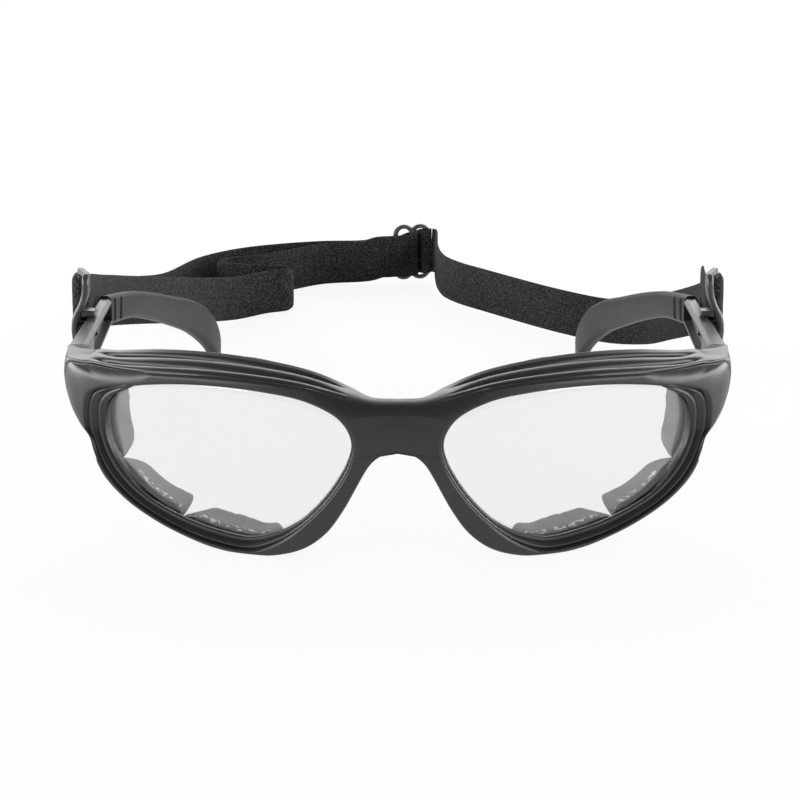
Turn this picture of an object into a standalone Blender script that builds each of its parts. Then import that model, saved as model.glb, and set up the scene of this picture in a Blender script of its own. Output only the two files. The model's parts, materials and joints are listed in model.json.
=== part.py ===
"""Padded sports glasses: a wrap-around front with two clear lenses and foam gaskets, two folding
temples, and an elastic head strap that clips to the temples.

Left and right are the wearer's: left is +X. The front faces -Y, the strap lies behind it, and Z is up.
The glasses stand on a table as they lie when put down: on the rims' lower edges and the temple tips.
"""

import math

import bmesh
import bpy
import numpy as np
from mathutils import Matrix, Vector

MM = 0.001
FIT_GAP = 0.3 * MM

# Front, as seen from ahead: x from the middle of the bridge, z above the table, in millimetres
LENS_CENTRE = (36.5, 18.5)
LENS_OPENING = (
    (9.2, 25.6), (10.0, 21.2), (13.5, 14.9), (19.2, 8.4), (24.6, 4.4), (31.0, 2.1), (38.5, 2.7),
    (47.0, 5.0), (56.0, 9.4), (61.6, 15.2), (64.2, 22.3), (63.4, 28.8), (57.0, 32.2), (48.4, 34.2),
    (38.5, 35.1), (27.5, 34.8), (18.4, 33.3), (11.6, 29.8),
)
RIM_LOWER_EDGE = (
    (-4.0, 23.1), (1.8, 23.0), (4.2, 21.6), (8.3, 15.9), (11.2, 10.8), (14.6, 5.9), (19.0, 2.3),
    (24.5, 0.3), (31.0, -0.4), (38.6, 0.4), (44.1, 1.9), (50.8, 4.4), (57.5, 8.0), (62.2, 12.2),
    (64.6, 16.8), (65.6, 20.2),
)
END_PIECE_EDGE = ((68.0, 22.5), (69.9, 25.0), (71.1, 28.2), (71.5, 31.5), (70.5, 34.6))
FRONT_TOP_EDGE = (
    (66.5, 35.2), (58.0, 35.4), (50.5, 36.0), (40.0, 36.8), (29.0, 36.9), (19.5, 36.2), (11.5, 34.6),
    (5.0, 33.0), (-4.0, 32.3),
)
BROW_TOP_EDGE = (
    (69.4, 36.3), (63.5, 37.5), (54.0, 39.2), (44.3, 40.0), (34.0, 39.9), (23.6, 38.9), (16.9, 37.5),
    (10.3, 35.1), (5.6, 33.1), (-4.0, 31.8),
)
WRAP_RADIUS = 100.0 * MM
CROWN_RADIUS = 110.0 * MM
FRONT_Y = -6.2 * MM
LIP_DEPTH = 1.2 * MM
RIM_CHAMFER = 1.5 * MM
EDGE_ROUND = 0.7 * MM
RIM_DEPTH_BELOW = 6.0 * MM
RIM_DEPTH_ABOVE = 8.0 * MM
BROW_GROOVE_DEPTH = 0.6 * MM
FOAM_SEAT = 1.9 * MM

# Lenses, held in a groove round each opening
LENS_THICKNESS = 1.9 * MM
LENS_BITE = 0.9 * MM
GROOVE_START = 1.8 * MM
BACK_LIP = 0.3 * MM

# Foam gaskets, with petals parted by notches
FOAM_DEPTH = 7.2 * MM
FOAM_INSET_NOSE = 0.3 * MM
FOAM_INSET_SIDE = 1.2 * MM
FOAM_INSET_BELOW = 3.8 * MM
FOAM_FLARE = 3.0 * MM
FOAM_FLARE_ANGLE = -30.0
FOAM_BROW_REACH = 5.4 * MM
FOAM_PETALS = 8
FOAM_FIRST_NOTCH = -11.0
FOAM_NOTCH_DEPTH = 2.4 * MM
FOAM_NOTCH_SHARE = 0.13
FOAM_NOTCH_LIMIT = 0.7
FOAM_ROUND = 1.3 * MM

# Hinges: two lugs on the front, one tongue on the temple and a screw up through them, under a cover that
# is part of the temple
HINGE_X = 68.7 * MM
HINGE_Y = 40.2 * MM
HINGE_BOTTOM = 26.4 * MM
HINGE_TOP = 35.0 * MM
HINGE_COVER = 1.2 * MM
TONGUE_HEIGHT = 2.4 * MM
LUG_RADIUS = 1.75 * MM
END_PIECE_OUTER_X = HINGE_X + 2.9 * MM
END_PIECE_INNER_X = HINGE_X - 1.1 * MM
SCREW_RADIUS = 0.5 * MM
SCREW_HEAD_RADIUS = 0.95 * MM
SCREW_HEAD_HEIGHT = 0.75 * MM

# Temple arms: a tapering bar with a channel in its inner face
ARM_REAR_Y = 72.6 * MM
ARM_REAR_BOTTOM = 30.8 * MM
ARM_REAR_TOP = 37.1 * MM
ARM_REAR_OUTER_X = 69.0 * MM
ARM_REAR_INNER_X = 65.9 * MM
ARM_EDGE = 0.7 * MM
CHANNEL_START_Y = 48.0 * MM
CHANNEL_DEPTH = 1.8 * MM
CHANNEL_FLANGE = 1.2 * MM

# Temple tips: a flat tongue in the channel, then a blade that curves in to the head and down to the table.
# Each place on the route is x, y behind the arm's rear end, z and the blade's height there, in millimetres
TIP_ROUTE = (
    (67.5, 0.4, 34.3, 6.8), (63.7, 18.4, 31.4, 6.3), (60.5, 34.4, 27.2, 6.7), (57.1, 50.4, 22.2, 7.3),
    (53.3, 65.4, 16.9, 8.4), (50.2, 76.4, 10.9, 8.8), (48.9, 82.2, 5.4, 7.2), (48.7, 84.6, 0.2, 4.6),
)
TIP_THICKNESS = 3.1 * MM
TANG_LENGTH = 11.0 * MM
TANG_THICKNESS = 1.2 * MM

# Strap clips: an S-shaped front bar and a straight rear bar with a slot between them. A peg in the temple
# arm and a ledge over its top edge hold the clip. Each place on the profile is x in millimetres and a share
# of the slot's height
CLIP_PROFILE = ((72.4, -0.06), (72.5, 0.235), (72.1, 0.426), (70.8, 0.618), (70.0, 0.809), (69.7, 1.118))
CLIP_THICKNESS = 2.2 * MM
CLIP_FRONT_Y = 56.6 * MM
CLIP_REAR_BAR_THICKNESS = 1.6 * MM
CLIP_BAR = 2.6 * MM
CLIP_END_BAR = 0.8 * MM
CLIP_SWEEP = 3.2 * MM
CLIP_SWEEP_HEIGHT = 3.0 * MM
CLIP_LEDGE_REACH = 1.8 * MM
CLIP_LEDGE_HEIGHT = 1.4 * MM
CLIP_PEG_Y = 59.2 * MM
CLIP_PEG_Z = 33.2 * MM
CLIP_PEG_RADIUS = 1.4 * MM
CLIP_COLLAR_RADIUS = 2.0 * MM
CLIP_SLOT_START_Y = 61.5 * MM
CLIP_SLOT_WIDTH = 3.2 * MM

# Strap and slider
STRAP_WIDTH = 12.4 * MM
STRAP_THICKNESS = 1.0 * MM
STRAP_STEP = 4.0 * MM
SLIDER_CENTRE = (4.1, 256.0)
SLIDER_HEADING = 12.0
SLIDER_LENGTH = 11.6 * MM
SLIDER_THICKNESS = 1.4 * MM
SLIDER_BAR = 1.5 * MM
SLIDER_RAIL = 1.2 * MM
SLIDER_SLACK = 1.5 * MM
TABLE_GAP = 0.3 * MM

RING_STATIONS = 52
FOAM_STATIONS_PER_PETAL = 10
TIP_STEP = 4.2 * MM
STRAP_STEPS_MOST = 12
ROUND_SIDES = 16


def clear_scene():
    for old in list(bpy.data.objects):
        bpy.data.objects.remove(old, do_unlink=True)


def collection(name, hidden=False):
    group = bpy.data.collections.new(name)
    group.hide_render = hidden
    bpy.context.scene.collection.children.link(group)
    return group


def plastic(name, colour, roughness, transmission=0.0):
    material = bpy.data.materials.new(name)
    material.use_nodes = True
    shader = material.node_tree.nodes["Principled BSDF"]
    shader.inputs["Base Color"].default_value = (*colour, 1.0)
    shader.inputs["Roughness"].default_value = roughness
    shader.inputs["Transmission Weight"].default_value = transmission
    return material


def metal(name, colour, roughness):
    material = plastic(name, colour, roughness)
    material.node_tree.nodes["Principled BSDF"].inputs["Metallic"].default_value = 1.0
    return material


clear_scene()
PARTS = collection("padded_sports_glasses")
CUTTERS = collection("cutters", hidden=True)
MATTE_BLACK = plastic("matte_black_nylon", (0.030, 0.030, 0.034), 0.45)
CLEAR_LENS = plastic("clear_polycarbonate", (0.93, 0.94, 0.94), 0.03, 1.0)
GREY_FOAM = plastic("grey_foam", (0.11, 0.11, 0.115), 0.95)
TIP_GREY = plastic("soft_dark_grey", (0.055, 0.055, 0.06), 0.6)
CLIP_BLACK = plastic("gloss_black_plastic", (0.022, 0.022, 0.026), 0.35)
STRAP_KNIT = plastic("black_elastic", (0.024, 0.023, 0.026), 0.9)
SCREW_STEEL = metal("blackened_steel", (0.30, 0.30, 0.31), 0.35)


def smoothstep(low, high, value):
    share = min(max((value - low) / (high - low), 0.0), 1.0)
    return share * share * (3 - 2 * share)


def spline(points, steps, closed=False):
    """A smooth curve through the points, with steps places on each span and no overshoot at uneven spans."""
    points = np.array(points, float)
    count = len(points)
    spans = count if closed else count - 1
    if closed:
        padded = np.vstack([points[-1:], points, points[:2]])
    else:
        padded = np.vstack([2 * points[:1] - points[1:2], points, 2 * points[-1:] - points[-2:-1]])
    knots = np.sqrt(np.linalg.norm(np.diff(padded[:, :3], axis=0), axis=1))
    found = []
    for i in range(spans):
        a, b, c, d = padded[i : i + 4]
        before, across, after = knots[i : i + 3]
        leave = ((b - a) / before - (c - a) / (before + across) + (c - b) / across) * across
        arrive = ((c - b) / across - (d - b) / (across + after) + (d - c) / after) * across
        for t in np.arange(steps) / steps:
            rise = b + leave * t + (3 * (c - b) - 2 * leave - arrive) * t**2
            found.append(rise + (leave + arrive - 2 * (c - b)) * t**3)
    if not closed:
        found.append(points[-1])
    return np.array(found)


def even_spline(points, spacing):
    """A smooth open curve through the points, at even steps of about the spacing."""
    fine = spline(points, 24)
    run = np.concatenate([[0], np.cumsum(np.linalg.norm(np.diff(fine, axis=0), axis=1))])
    places = np.linspace(0, run[-1], max(int(round(run[-1] / spacing)), 2) + 1)
    return np.stack([np.interp(places, run, fine[:, k]) for k in range(fine.shape[1])], axis=1)


def solid(name, bm, material, origin=(0, 0, 0)):
    """A part from a finished bmesh, with its origin moved to the given point."""
    bmesh.ops.recalc_face_normals(bm, faces=bm.faces)
    mesh = bpy.data.meshes.new(name)
    bm.to_mesh(mesh)
    bm.free()
    mesh.transform(Matrix.Translation(-Vector(origin)))
    part = bpy.data.objects.new(name, mesh)
    part.location = origin
    mesh.materials.append(material)
    mesh.shade_smooth()
    mesh.set_sharp_from_angle(angle=math.radians(35))
    PARTS.objects.link(part)
    return part


def bridge_rings(bm, rings, closed=False):
    """Quads between neighbouring rings of vertices, with end caps unless the rings close on themselves."""
    made = [[bm.verts.new(point) for point in ring] for ring in rings]
    pairs = list(zip(made, made[1:]))
    if closed:
        pairs.append((made[-1], made[0]))
    for one, two in pairs:
        for i in range(len(one)):
            j = (i + 1) % len(one)
            bm.faces.new((one[i], one[j], two[j], two[i]))
    if not closed:
        bm.faces.new(made[0])
        bm.faces.new(made[-1])


def cutter(name, bm):
    """A hidden solid that a part is cut with or joined to."""
    bmesh.ops.recalc_face_normals(bm, faces=bm.faces)
    mesh = bpy.data.meshes.new(name)
    bm.to_mesh(mesh)
    bm.free()
    tool = bpy.data.objects.new(name, mesh)
    tool.hide_render = True
    tool.display_type = "WIRE"
    CUTTERS.objects.link(tool)
    return tool


def box(low, high):
    bm = bmesh.new()
    size = Vector(high) - Vector(low)
    place = Matrix.Translation((Vector(low) + Vector(high)) / 2) @ Matrix.Diagonal((*size, 1))
    bmesh.ops.create_cube(bm, size=1, matrix=place)
    return bm


def cylinder(base, axis, length, radius, bm=None, sides=ROUND_SIDES):
    bm = bm or bmesh.new()
    turn = Vector((0, 0, 1)).rotation_difference(Vector(axis)).to_matrix().to_4x4()
    place = Matrix.Translation(Vector(base)) @ turn @ Matrix.Translation((0, 0, length / 2))
    bmesh.ops.create_cone(
        bm, cap_ends=True, segments=sides, radius1=radius, radius2=radius, depth=length, matrix=place
    )
    return bm


def combine(part, operation, *tools):
    """Boolean modifiers, one for each tool."""
    for tool in tools:
        modifier = part.modifiers.new(f"{operation.lower()}_{tool.name}", "BOOLEAN")
        modifier.operation = operation
        modifier.object = tool


def settle(part):
    """The part with its modifiers applied, so that it can be copied or mirrored."""
    bpy.context.view_layer.update()
    graph = bpy.context.evaluated_depsgraph_get()
    mesh = bpy.data.meshes.new_from_object(part.evaluated_get(graph))
    part.modifiers.clear()
    part.data = mesh
    return part


def mirrored(part, name):
    """The right-hand twin of a left-hand part."""
    mesh = part.data.copy()
    mesh.transform(Matrix.Diagonal((-1, 1, 1, 1)))
    mesh.flip_normals()
    twin = bpy.data.objects.new(name, mesh)
    twin.location = Vector((-part.location.x, part.location.y, part.location.z))
    PARTS.objects.link(twin)
    return twin


# The front's map and outlines

def scaled(points):
    return np.array(points) * MM


CENTRE = scaled(LENS_CENTRE)


def on_front(x, z, depth):
    """A point at front-view place (x, z), this far behind the wrapped lens face."""
    lean = math.asin(x / WRAP_RADIUS)
    crown = (z - CENTRE[1]) ** 2 / (2 * CROWN_RADIUS)
    y = FRONT_Y + WRAP_RADIUS - (WRAP_RADIUS - depth) * math.cos(lean) + crown
    return Vector((x - depth * math.sin(lean), y, z))


def round_centre(outline):
    """An outline as seen from the lens centre: angles from +X and how far it lies there."""
    places = spline(scaled(outline), 20, closed=True) - CENTRE
    return np.arctan2(places[:, 1], places[:, 0]), np.hypot(places[:, 0], places[:, 1])


OPENING = round_centre(LENS_OPENING)
FRONT_EDGE = round_centre(RIM_LOWER_EDGE + END_PIECE_EDGE + FRONT_TOP_EDGE)
BACK_EDGE = round_centre(RIM_LOWER_EDGE + END_PIECE_EDGE + BROW_TOP_EDGE)


def reach(outline, angle):
    """How far an outline lies from the lens centre, at this angle from +X."""
    angles, radii = outline
    return np.interp(angle, angles, radii, period=2 * math.pi)


def place(angle, radius, depth):
    return on_front(CENTRE[0] + radius * math.cos(angle), CENTRE[1] + radius * math.sin(angle), depth)


def rim_depth(angle):
    middle = (RIM_DEPTH_ABOVE + RIM_DEPTH_BELOW) / 2
    return middle + (RIM_DEPTH_ABOVE - RIM_DEPTH_BELOW) / 2 * math.sin(angle)


def even_angles(count, *outlines, start=-math.pi):
    """Angles from -pi to pi round the lens, at even steps along the outlines taken together."""
    fine = start + np.linspace(0, 2 * math.pi, 720)
    run = np.zeros(len(fine))
    for outline in outlines:
        radii = reach(outline, fine)
        steps = np.hypot(np.diff(radii * np.cos(fine)), np.diff(radii * np.sin(fine)))
        run[1:] += np.cumsum(steps)
    found = np.interp(np.arange(count) / count * run[-1], run, fine)
    return [float((angle + math.pi) % (2 * math.pi) - math.pi) for angle in found]


END_PIECE_LOW = math.radians(5)
END_PIECE_HIGH = math.radians(26)
END_PIECE_BLEND = math.radians(3)
BRIDGE_ARCH = (math.radians(171.0), math.radians(186.0))
BRIDGE_STATIONS = 9
STATION_GAP = math.radians(1.2)
HINGE_FACE_Y = HINGE_Y - LUG_RADIUS - FIT_GAP


def end_piece_share(angle, margin=0.0):
    """1 where the rim runs back into the end-piece, 0 elsewhere."""
    low = END_PIECE_LOW - margin
    high = END_PIECE_HIGH + margin
    return smoothstep(low - END_PIECE_BLEND, low, angle) - smoothstep(high, high + END_PIECE_BLEND, angle)


def brow_share(angle):
    """1 along the ribbed brow, fading to 0 at both of its ends."""
    degrees = math.degrees(angle)
    return smoothstep(33, 48, degrees) - smoothstep(128, 150, degrees)


GROOVE_END = GROOVE_START + LENS_THICKNESS + 2 * FIT_GAP
BROW_RIBS = ((0.10, 0), (0.20, 1), (0.36, 0), (0.50, 1), (0.66, 0), (0.82, 0.7))


def rim_profile(angle):
    """The rim's section at an angle round the lens: lip, front face, ribbed brow, back, seat and groove."""
    opening = reach(OPENING, angle)
    front = reach(FRONT_EDGE, angle)
    back = reach(BACK_EDGE, angle)
    deep = rim_depth(angle)
    face = front - opening
    round_off = min(EDGE_ROUND, 0.3 * face)
    chamfer = min(RIM_CHAMFER, 0.6 * face)
    found = [
        place(angle, opening, LIP_DEPTH),
        place(angle, opening + 0.4 * chamfer, 0.75 * LIP_DEPTH),
        place(angle, opening + chamfer, 0),
        place(angle, front - round_off, 0),
        place(angle, front - 0.3 * round_off, 0.3 * EDGE_ROUND),
        place(angle, front, EDGE_ROUND),
    ]
    share = end_piece_share(angle)
    hinge_z = HINGE_BOTTOM + (HINGE_TOP - HINGE_BOTTOM) * min(
        max((angle - END_PIECE_LOW) / (END_PIECE_HIGH - END_PIECE_LOW), 0), 1
    )
    outer_hinge = Vector((END_PIECE_OUTER_X, HINGE_FACE_Y, hinge_z))
    inner_hinge = Vector((END_PIECE_INNER_X, HINGE_FACE_Y, hinge_z))
    back_edge = place(angle, back, deep - 0.5 * EDGE_ROUND).lerp(outer_hinge, share)
    for along, groove in BROW_RIBS:
        radius = front + (back - front) * along - groove * BROW_GROOVE_DEPTH * brow_share(angle)
        ribbed = place(angle, radius, EDGE_ROUND + (deep - 1.5 * EDGE_ROUND) * along)
        found.append(ribbed.lerp(found[5].lerp(back_edge, along), share))
    found.append(back_edge)
    found.append(place(angle, back - 0.5 * EDGE_ROUND, deep).lerp(inner_hinge, share))
    seat = min(FOAM_SEAT, back - opening - EDGE_ROUND)
    groove_reach = LENS_BITE + FIT_GAP
    found += [
        place(angle, opening + seat, deep),
        place(angle, opening + BACK_LIP, deep),
        place(angle, opening + BACK_LIP, GROOVE_END),
        place(angle, opening + groove_reach, GROOVE_END),
        place(angle, opening + groove_reach, GROOVE_START),
        place(angle, opening, GROOVE_START),
    ]
    return found


# frame_front

def make_front():
    kept = [END_PIECE_LOW, END_PIECE_HIGH]
    kept += [math.remainder(angle, 2 * math.pi) for angle in np.linspace(*BRIDGE_ARCH, BRIDGE_STATIONS)]
    even = even_angles(RING_STATIONS, OPENING, FRONT_EDGE)
    clear = [angle for angle in even if min(abs(angle - one) for one in kept) > STATION_GAP]
    angles = sorted(clear + kept)
    bm = bmesh.new()
    bridge_rings(bm, [rim_profile(angle) for angle in angles], closed=True)
    everything = bm.verts[:] + bm.edges[:] + bm.faces[:]
    bmesh.ops.bisect_plane(bm, geom=everything, plane_co=(0, 0, 0), plane_no=(1, 0, 0), clear_inner=True)
    front = solid("frame_front", bm, MATTE_BLACK)
    mirror = front.modifiers.new("mirror", "MIRROR")
    mirror.merge_threshold = 0.00001
    for side in (1, -1):
        for name, low, high in (
            ("lower_lug", HINGE_BOTTOM + FIT_GAP, TONGUE_BOTTOM - FIT_GAP),
            ("upper_lug", TONGUE_TOP + FIT_GAP, LUG_TOP - FIT_GAP),
        ):
            combine(front, "UNION", hinge_lug(f"{name}_{side}", side, low, high))
        combine(front, "DIFFERENCE", screw_hole(f"screw_hole_{side}", side))
    ground = box((-0.2, -0.2, -0.05), (0.2, 0.3, 0))
    combine(front, "DIFFERENCE", cutter("table", ground))
    return settle(front)


LUG_TOP = HINGE_TOP - HINGE_COVER
TONGUE_MIDDLE = (HINGE_BOTTOM + LUG_TOP) / 2
TONGUE_BOTTOM = TONGUE_MIDDLE - TONGUE_HEIGHT / 2
TONGUE_TOP = TONGUE_MIDDLE + TONGUE_HEIGHT / 2
SCREW_CLEARANCE = 0.3 * MM
LUG_NECK = 0.7
LUG_NECK_END = 0.25


def hinge_lug(name, side, low, high):
    """A round-nosed lug that stands back from the end-piece round the hinge axis."""
    lug = cutter(name, cylinder((side * HINGE_X, HINGE_Y, low), (0, 0, 1), high - low, LUG_RADIUS))
    root = LUG_RADIUS + FIT_GAP + EDGE_ROUND
    half = LUG_NECK * LUG_RADIUS
    xs = sorted((side * (HINGE_X - half), side * (HINGE_X + half)))
    neck = box((xs[0], HINGE_Y - root, low), (xs[1], HINGE_Y - LUG_NECK_END * LUG_RADIUS, high))
    combine(lug, "UNION", cutter(f"{name}_neck", neck))
    return lug


def screw_hole(name, side):
    """The screw's hole up through both lugs and the tongue, with a sink for its head below."""
    shank = cylinder((side * HINGE_X, HINGE_Y, HINGE_BOTTOM), (0, 0, 1), LUG_TOP - HINGE_BOTTOM,
                     SCREW_RADIUS + SCREW_CLEARANCE)
    tool = cutter(name, shank)
    sink = SCREW_HEAD_HEIGHT + 2 * FIT_GAP
    mouth = (side * HINGE_X, HINGE_Y, HINGE_BOTTOM - sink)
    head = cylinder(mouth, (0, 0, 1), 2 * sink + FIT_GAP, SCREW_HEAD_RADIUS + SCREW_CLEARANCE)
    combine(tool, "UNION", cutter(f"{name}_head", head))
    return tool


def make_screw():
    """A slotted machine screw, its head sunk in the lower lug."""
    head_low = HINGE_BOTTOM + 2 * FIT_GAP
    top = LUG_TOP - 2 * FIT_GAP
    shank_low = head_low + SCREW_HEAD_HEIGHT / 2
    bm = cylinder((HINGE_X, HINGE_Y, shank_low), (0, 0, 1), top - shank_low, SCREW_RADIUS)
    screw = solid("left_hinge_screw", bm, SCREW_STEEL, (HINGE_X, HINGE_Y, TONGUE_MIDDLE))
    head = cylinder((HINGE_X, HINGE_Y, head_low), (0, 0, 1), SCREW_HEAD_HEIGHT, SCREW_HEAD_RADIUS)
    combine(screw, "UNION", cutter("screw_head", head))
    slot_half = 0.2 * SCREW_HEAD_RADIUS
    slot = box(
        (HINGE_X - 2 * SCREW_HEAD_RADIUS, HINGE_Y - slot_half, head_low - SCREW_HEAD_HEIGHT),
        (HINGE_X + 2 * SCREW_HEAD_RADIUS, HINGE_Y + slot_half, head_low + SCREW_HEAD_HEIGHT / 2),
    )
    combine(screw, "DIFFERENCE", cutter("screw_slot", slot))
    return settle(screw)


# Lenses

LENS_RINGS = (0.4, 0.75, 1.0)


def make_lens():
    """A curved lens, its edge in the rim's groove."""
    angles = even_angles(RING_STATIONS, OPENING)
    bm = bmesh.new()
    near = GROOVE_START + FIT_GAP
    sheets = []
    for depth in (near, near + LENS_THICKNESS):
        middle = bm.verts.new(place(0, 0, depth))
        rings = []
        for share in LENS_RINGS:
            ring = [bm.verts.new(place(a, share * (reach(OPENING, a) + LENS_BITE), depth)) for a in angles]
            rings.append(ring)
        count = len(angles)
        for i in range(count):
            j = (i + 1) % count
            bm.faces.new((middle, rings[0][i], rings[0][j]))
            for inner, outer in zip(rings, rings[1:]):
                bm.faces.new((inner[i], outer[i], outer[j], inner[j]))
        sheets.append(rings[-1])
    for i in range(len(angles)):
        j = (i + 1) % len(angles)
        bm.faces.new((sheets[0][i], sheets[0][j], sheets[1][j], sheets[1][i]))
    return solid("left_lens", bm, CLEAR_LENS)


# Foam gaskets

def foam_section(angle, petal_place):
    """One section of the foam ring: a flange on the rim's back, then a petal that swells into the opening."""
    opening = reach(OPENING, angle)
    back = reach(BACK_EDGE, angle)
    near = rim_depth(angle) + FIT_GAP
    seat = min(FOAM_SEAT, back - opening - EDGE_ROUND) - FIT_GAP
    brow = max(0.0, math.sin(angle)) ** 2
    at_end_piece = end_piece_share(angle, math.radians(10))
    flange = seat + (FOAM_BROW_REACH - seat) * brow * (1 - at_end_piece)
    across = FOAM_INSET_NOSE + (FOAM_INSET_SIDE - FOAM_INSET_NOSE) * (1 + math.cos(angle)) / 2
    inset = across + (FOAM_INSET_BELOW - across) * max(0.0, -math.sin(angle)) ** 4
    off_middle = min(petal_place, 1 - petal_place)
    deepest = min(FOAM_NOTCH_DEPTH, FOAM_NOTCH_LIMIT * (inset + flange))
    notch = deepest * (1 - smoothstep(0, FOAM_NOTCH_SHARE, off_middle))
    inner = opening - inset + notch
    outer = opening + flange
    far = near + FOAM_DEPTH - 0.5 * notch
    swell = min(FOAM_ROUND, 0.3 * (outer - inner))
    flare = FOAM_FLARE * ((1 + math.cos(angle - math.radians(FOAM_FLARE_ANGLE))) / 2) ** 2
    return [
        place(angle, radius + flare * (depth - near) / FOAM_DEPTH, depth)
        for radius, depth in (
            (outer, near), (outer, near + 0.45 * FOAM_DEPTH), (outer - 0.5 * swell, far - 0.6 * swell),
            (outer - 1.4 * swell, far), (inner + 1.2 * swell, far), (inner + 0.3 * swell, far - 0.7 * swell),
            (inner, near + 0.5 * FOAM_DEPTH), (inner + 0.6 * swell, near),
        )
    ]


def make_foam():
    count = FOAM_PETALS * FOAM_STATIONS_PER_PETAL
    bm = bmesh.new()
    rings = []
    for i, angle in enumerate(even_angles(count, OPENING, start=math.radians(FOAM_FIRST_NOTCH))):
        rings.append(foam_section(angle, (i % FOAM_STATIONS_PER_PETAL) / FOAM_STATIONS_PER_PETAL))
    bridge_rings(bm, rings, closed=True)
    return solid("left_foam_gasket", bm, GREY_FOAM)


# Temple arms

def rectangle(corner_low, corner_high, y, edge):
    """A bevelled rectangle across the Y axis, from (x, z) to (x, z)."""
    (x0, z0), (x1, z1) = corner_low, corner_high
    return [
        Vector((x, y, z))
        for x, z in (
            (x0 + edge, z0), (x1 - edge, z0), (x1, z0 + edge), (x1, z1 - edge),
            (x1 - edge, z1), (x0 + edge, z1), (x0, z1 - edge), (x0, z0 + edge),
        )
    ]


ARM_FRONT_Y = HINGE_FACE_Y + FIT_GAP
HINGE_CLEARANCE = LUG_RADIUS + FIT_GAP


def along_arm(front, rear, y):
    return front + (rear - front) * (y - ARM_FRONT_Y) / (ARM_REAR_Y - ARM_FRONT_Y)


def arm_inner_x(y):
    return along_arm(END_PIECE_INNER_X, ARM_REAR_INNER_X, y)


def arm_outer_x(y):
    return along_arm(END_PIECE_OUTER_X, ARM_REAR_OUTER_X, y)


def arm_bottom(y):
    return along_arm(HINGE_BOTTOM, ARM_REAR_BOTTOM, y)


def arm_top(y):
    return along_arm(HINGE_TOP, ARM_REAR_TOP, y)


def arm_section(y):
    return rectangle((arm_inner_x(y), arm_bottom(y)), (arm_outer_x(y), arm_top(y)), y, ARM_EDGE)


def channel_section(y, gap=0.0, floor_gap=0.0, past=0.0):
    """The channel across the arm at y, smaller by a gap on each side, or reaching past the inner face."""
    x0 = arm_inner_x(y) - past
    x1 = arm_inner_x(y) + CHANNEL_DEPTH - floor_gap
    z0 = arm_bottom(y) + CHANNEL_FLANGE + gap
    z1 = arm_top(y) - CHANNEL_FLANGE - gap
    return [Vector((x0, y, z0)), Vector((x1, y, z0)), Vector((x1, y, z1)), Vector((x0, y, z1))]


def make_arm():
    bm = bmesh.new()
    bridge_rings(bm, [arm_section(ARM_FRONT_Y), arm_section(ARM_REAR_Y)])
    arm = solid("left_temple_arm", bm, MATTE_BLACK, (HINGE_X, HINGE_Y, TONGUE_MIDDLE))
    # Room for the lugs under the cover: round behind the axis, and clear through ahead of it except at the
    # outer wall. The cover's inner corner is round, so that it passes the end-piece as the temple folds
    room_low = HINGE_BOTTOM - LUG_RADIUS
    room_height = LUG_TOP - room_low
    room = cutter(
        "lug_room", cylinder((HINGE_X, HINGE_Y, room_low), (0, 0, 1), room_height, HINGE_CLEARANCE, sides=24)
    )
    room_start = (END_PIECE_INNER_X - LUG_RADIUS, ARM_FRONT_Y - LUG_RADIUS, room_low)
    ahead = box(room_start, (HINGE_X + HINGE_CLEARANCE, HINGE_Y, room_low + room_height))
    combine(room, "UNION", cutter("lug_room_ahead", ahead))
    corner = cutter("cover_corner", box(room_start, (HINGE_X, HINGE_Y, HINGE_TOP + LUG_RADIUS)))
    cover_round = cylinder(
        (HINGE_X, HINGE_Y, room_low - LUG_RADIUS), (0, 0, 1), 4 * room_height, LUG_RADIUS, sides=24
    )
    combine(corner, "DIFFERENCE", cutter("cover_round", cover_round))
    combine(arm, "DIFFERENCE", room, corner)
    tongue_radius = LUG_RADIUS - FIT_GAP
    tongue = cutter(
        "tongue", cylinder((HINGE_X, HINGE_Y, TONGUE_BOTTOM), (0, 0, 1), TONGUE_HEIGHT, tongue_radius)
    )
    neck = box(
        (HINGE_X - 0.7 * tongue_radius, HINGE_Y, TONGUE_BOTTOM),
        (HINGE_X + 0.7 * tongue_radius, HINGE_Y + HINGE_CLEARANCE + ARM_EDGE, TONGUE_TOP),
    )
    combine(tongue, "UNION", cutter("tongue_neck", neck))
    combine(arm, "UNION", tongue)
    combine(arm, "DIFFERENCE", screw_hole("arm_screw_hole", 1))
    channel = bmesh.new()
    ends = (CHANNEL_START_Y, ARM_REAR_Y + CHANNEL_DEPTH)
    bridge_rings(channel, [channel_section(y, past=CHANNEL_DEPTH) for y in ends])
    combine(arm, "DIFFERENCE", cutter("channel", channel))
    peg_start = (arm_inner_x(CLIP_PEG_Y), CLIP_PEG_Y, CLIP_PEG_Z)
    peg_hole = cylinder(peg_start, (1, 0, 0), 10 * CLIP_PEG_RADIUS, CLIP_PEG_RADIUS + FIT_GAP)
    combine(arm, "DIFFERENCE", cutter("peg_hole", peg_hole))
    return settle(arm)


# Temple tips

def tip_sections():
    """Rounded sections along the tip's route, ending at the table."""
    route = even_spline(scaled(TIP_ROUTE) + (0, ARM_REAR_Y, 0, 0), TIP_STEP)
    count = len(route)
    sections = []
    for i, (*point, height) in enumerate(route):
        ahead = Vector((route[min(i + 1, count - 1)] - route[max(i - 1, 0)])[:3]).normalized()
        if i == 0:
            ahead = Vector((0, 1, 0))
        up = (Vector((0, 0, 1)) - ahead * ahead.z).normalized()
        across = ahead.cross(up)
        half_height = height / 2
        half_thick = TIP_THICKNESS / 2
        bevel = 0.55 * half_thick
        ring = []
        for a, u in (
            (1, 0.55), (0.55, 1), (-0.55, 1), (-1, 0.55), (-1, -0.55), (-0.55, -1), (0.55, -1), (1, -0.55),
        ):
            rise = math.copysign(half_height - (bevel if abs(u) < 1 else 0), u)
            ring.append(Vector(point) + across * (a * half_thick) + up * rise)
        sections.append(ring)
    return sections


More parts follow.
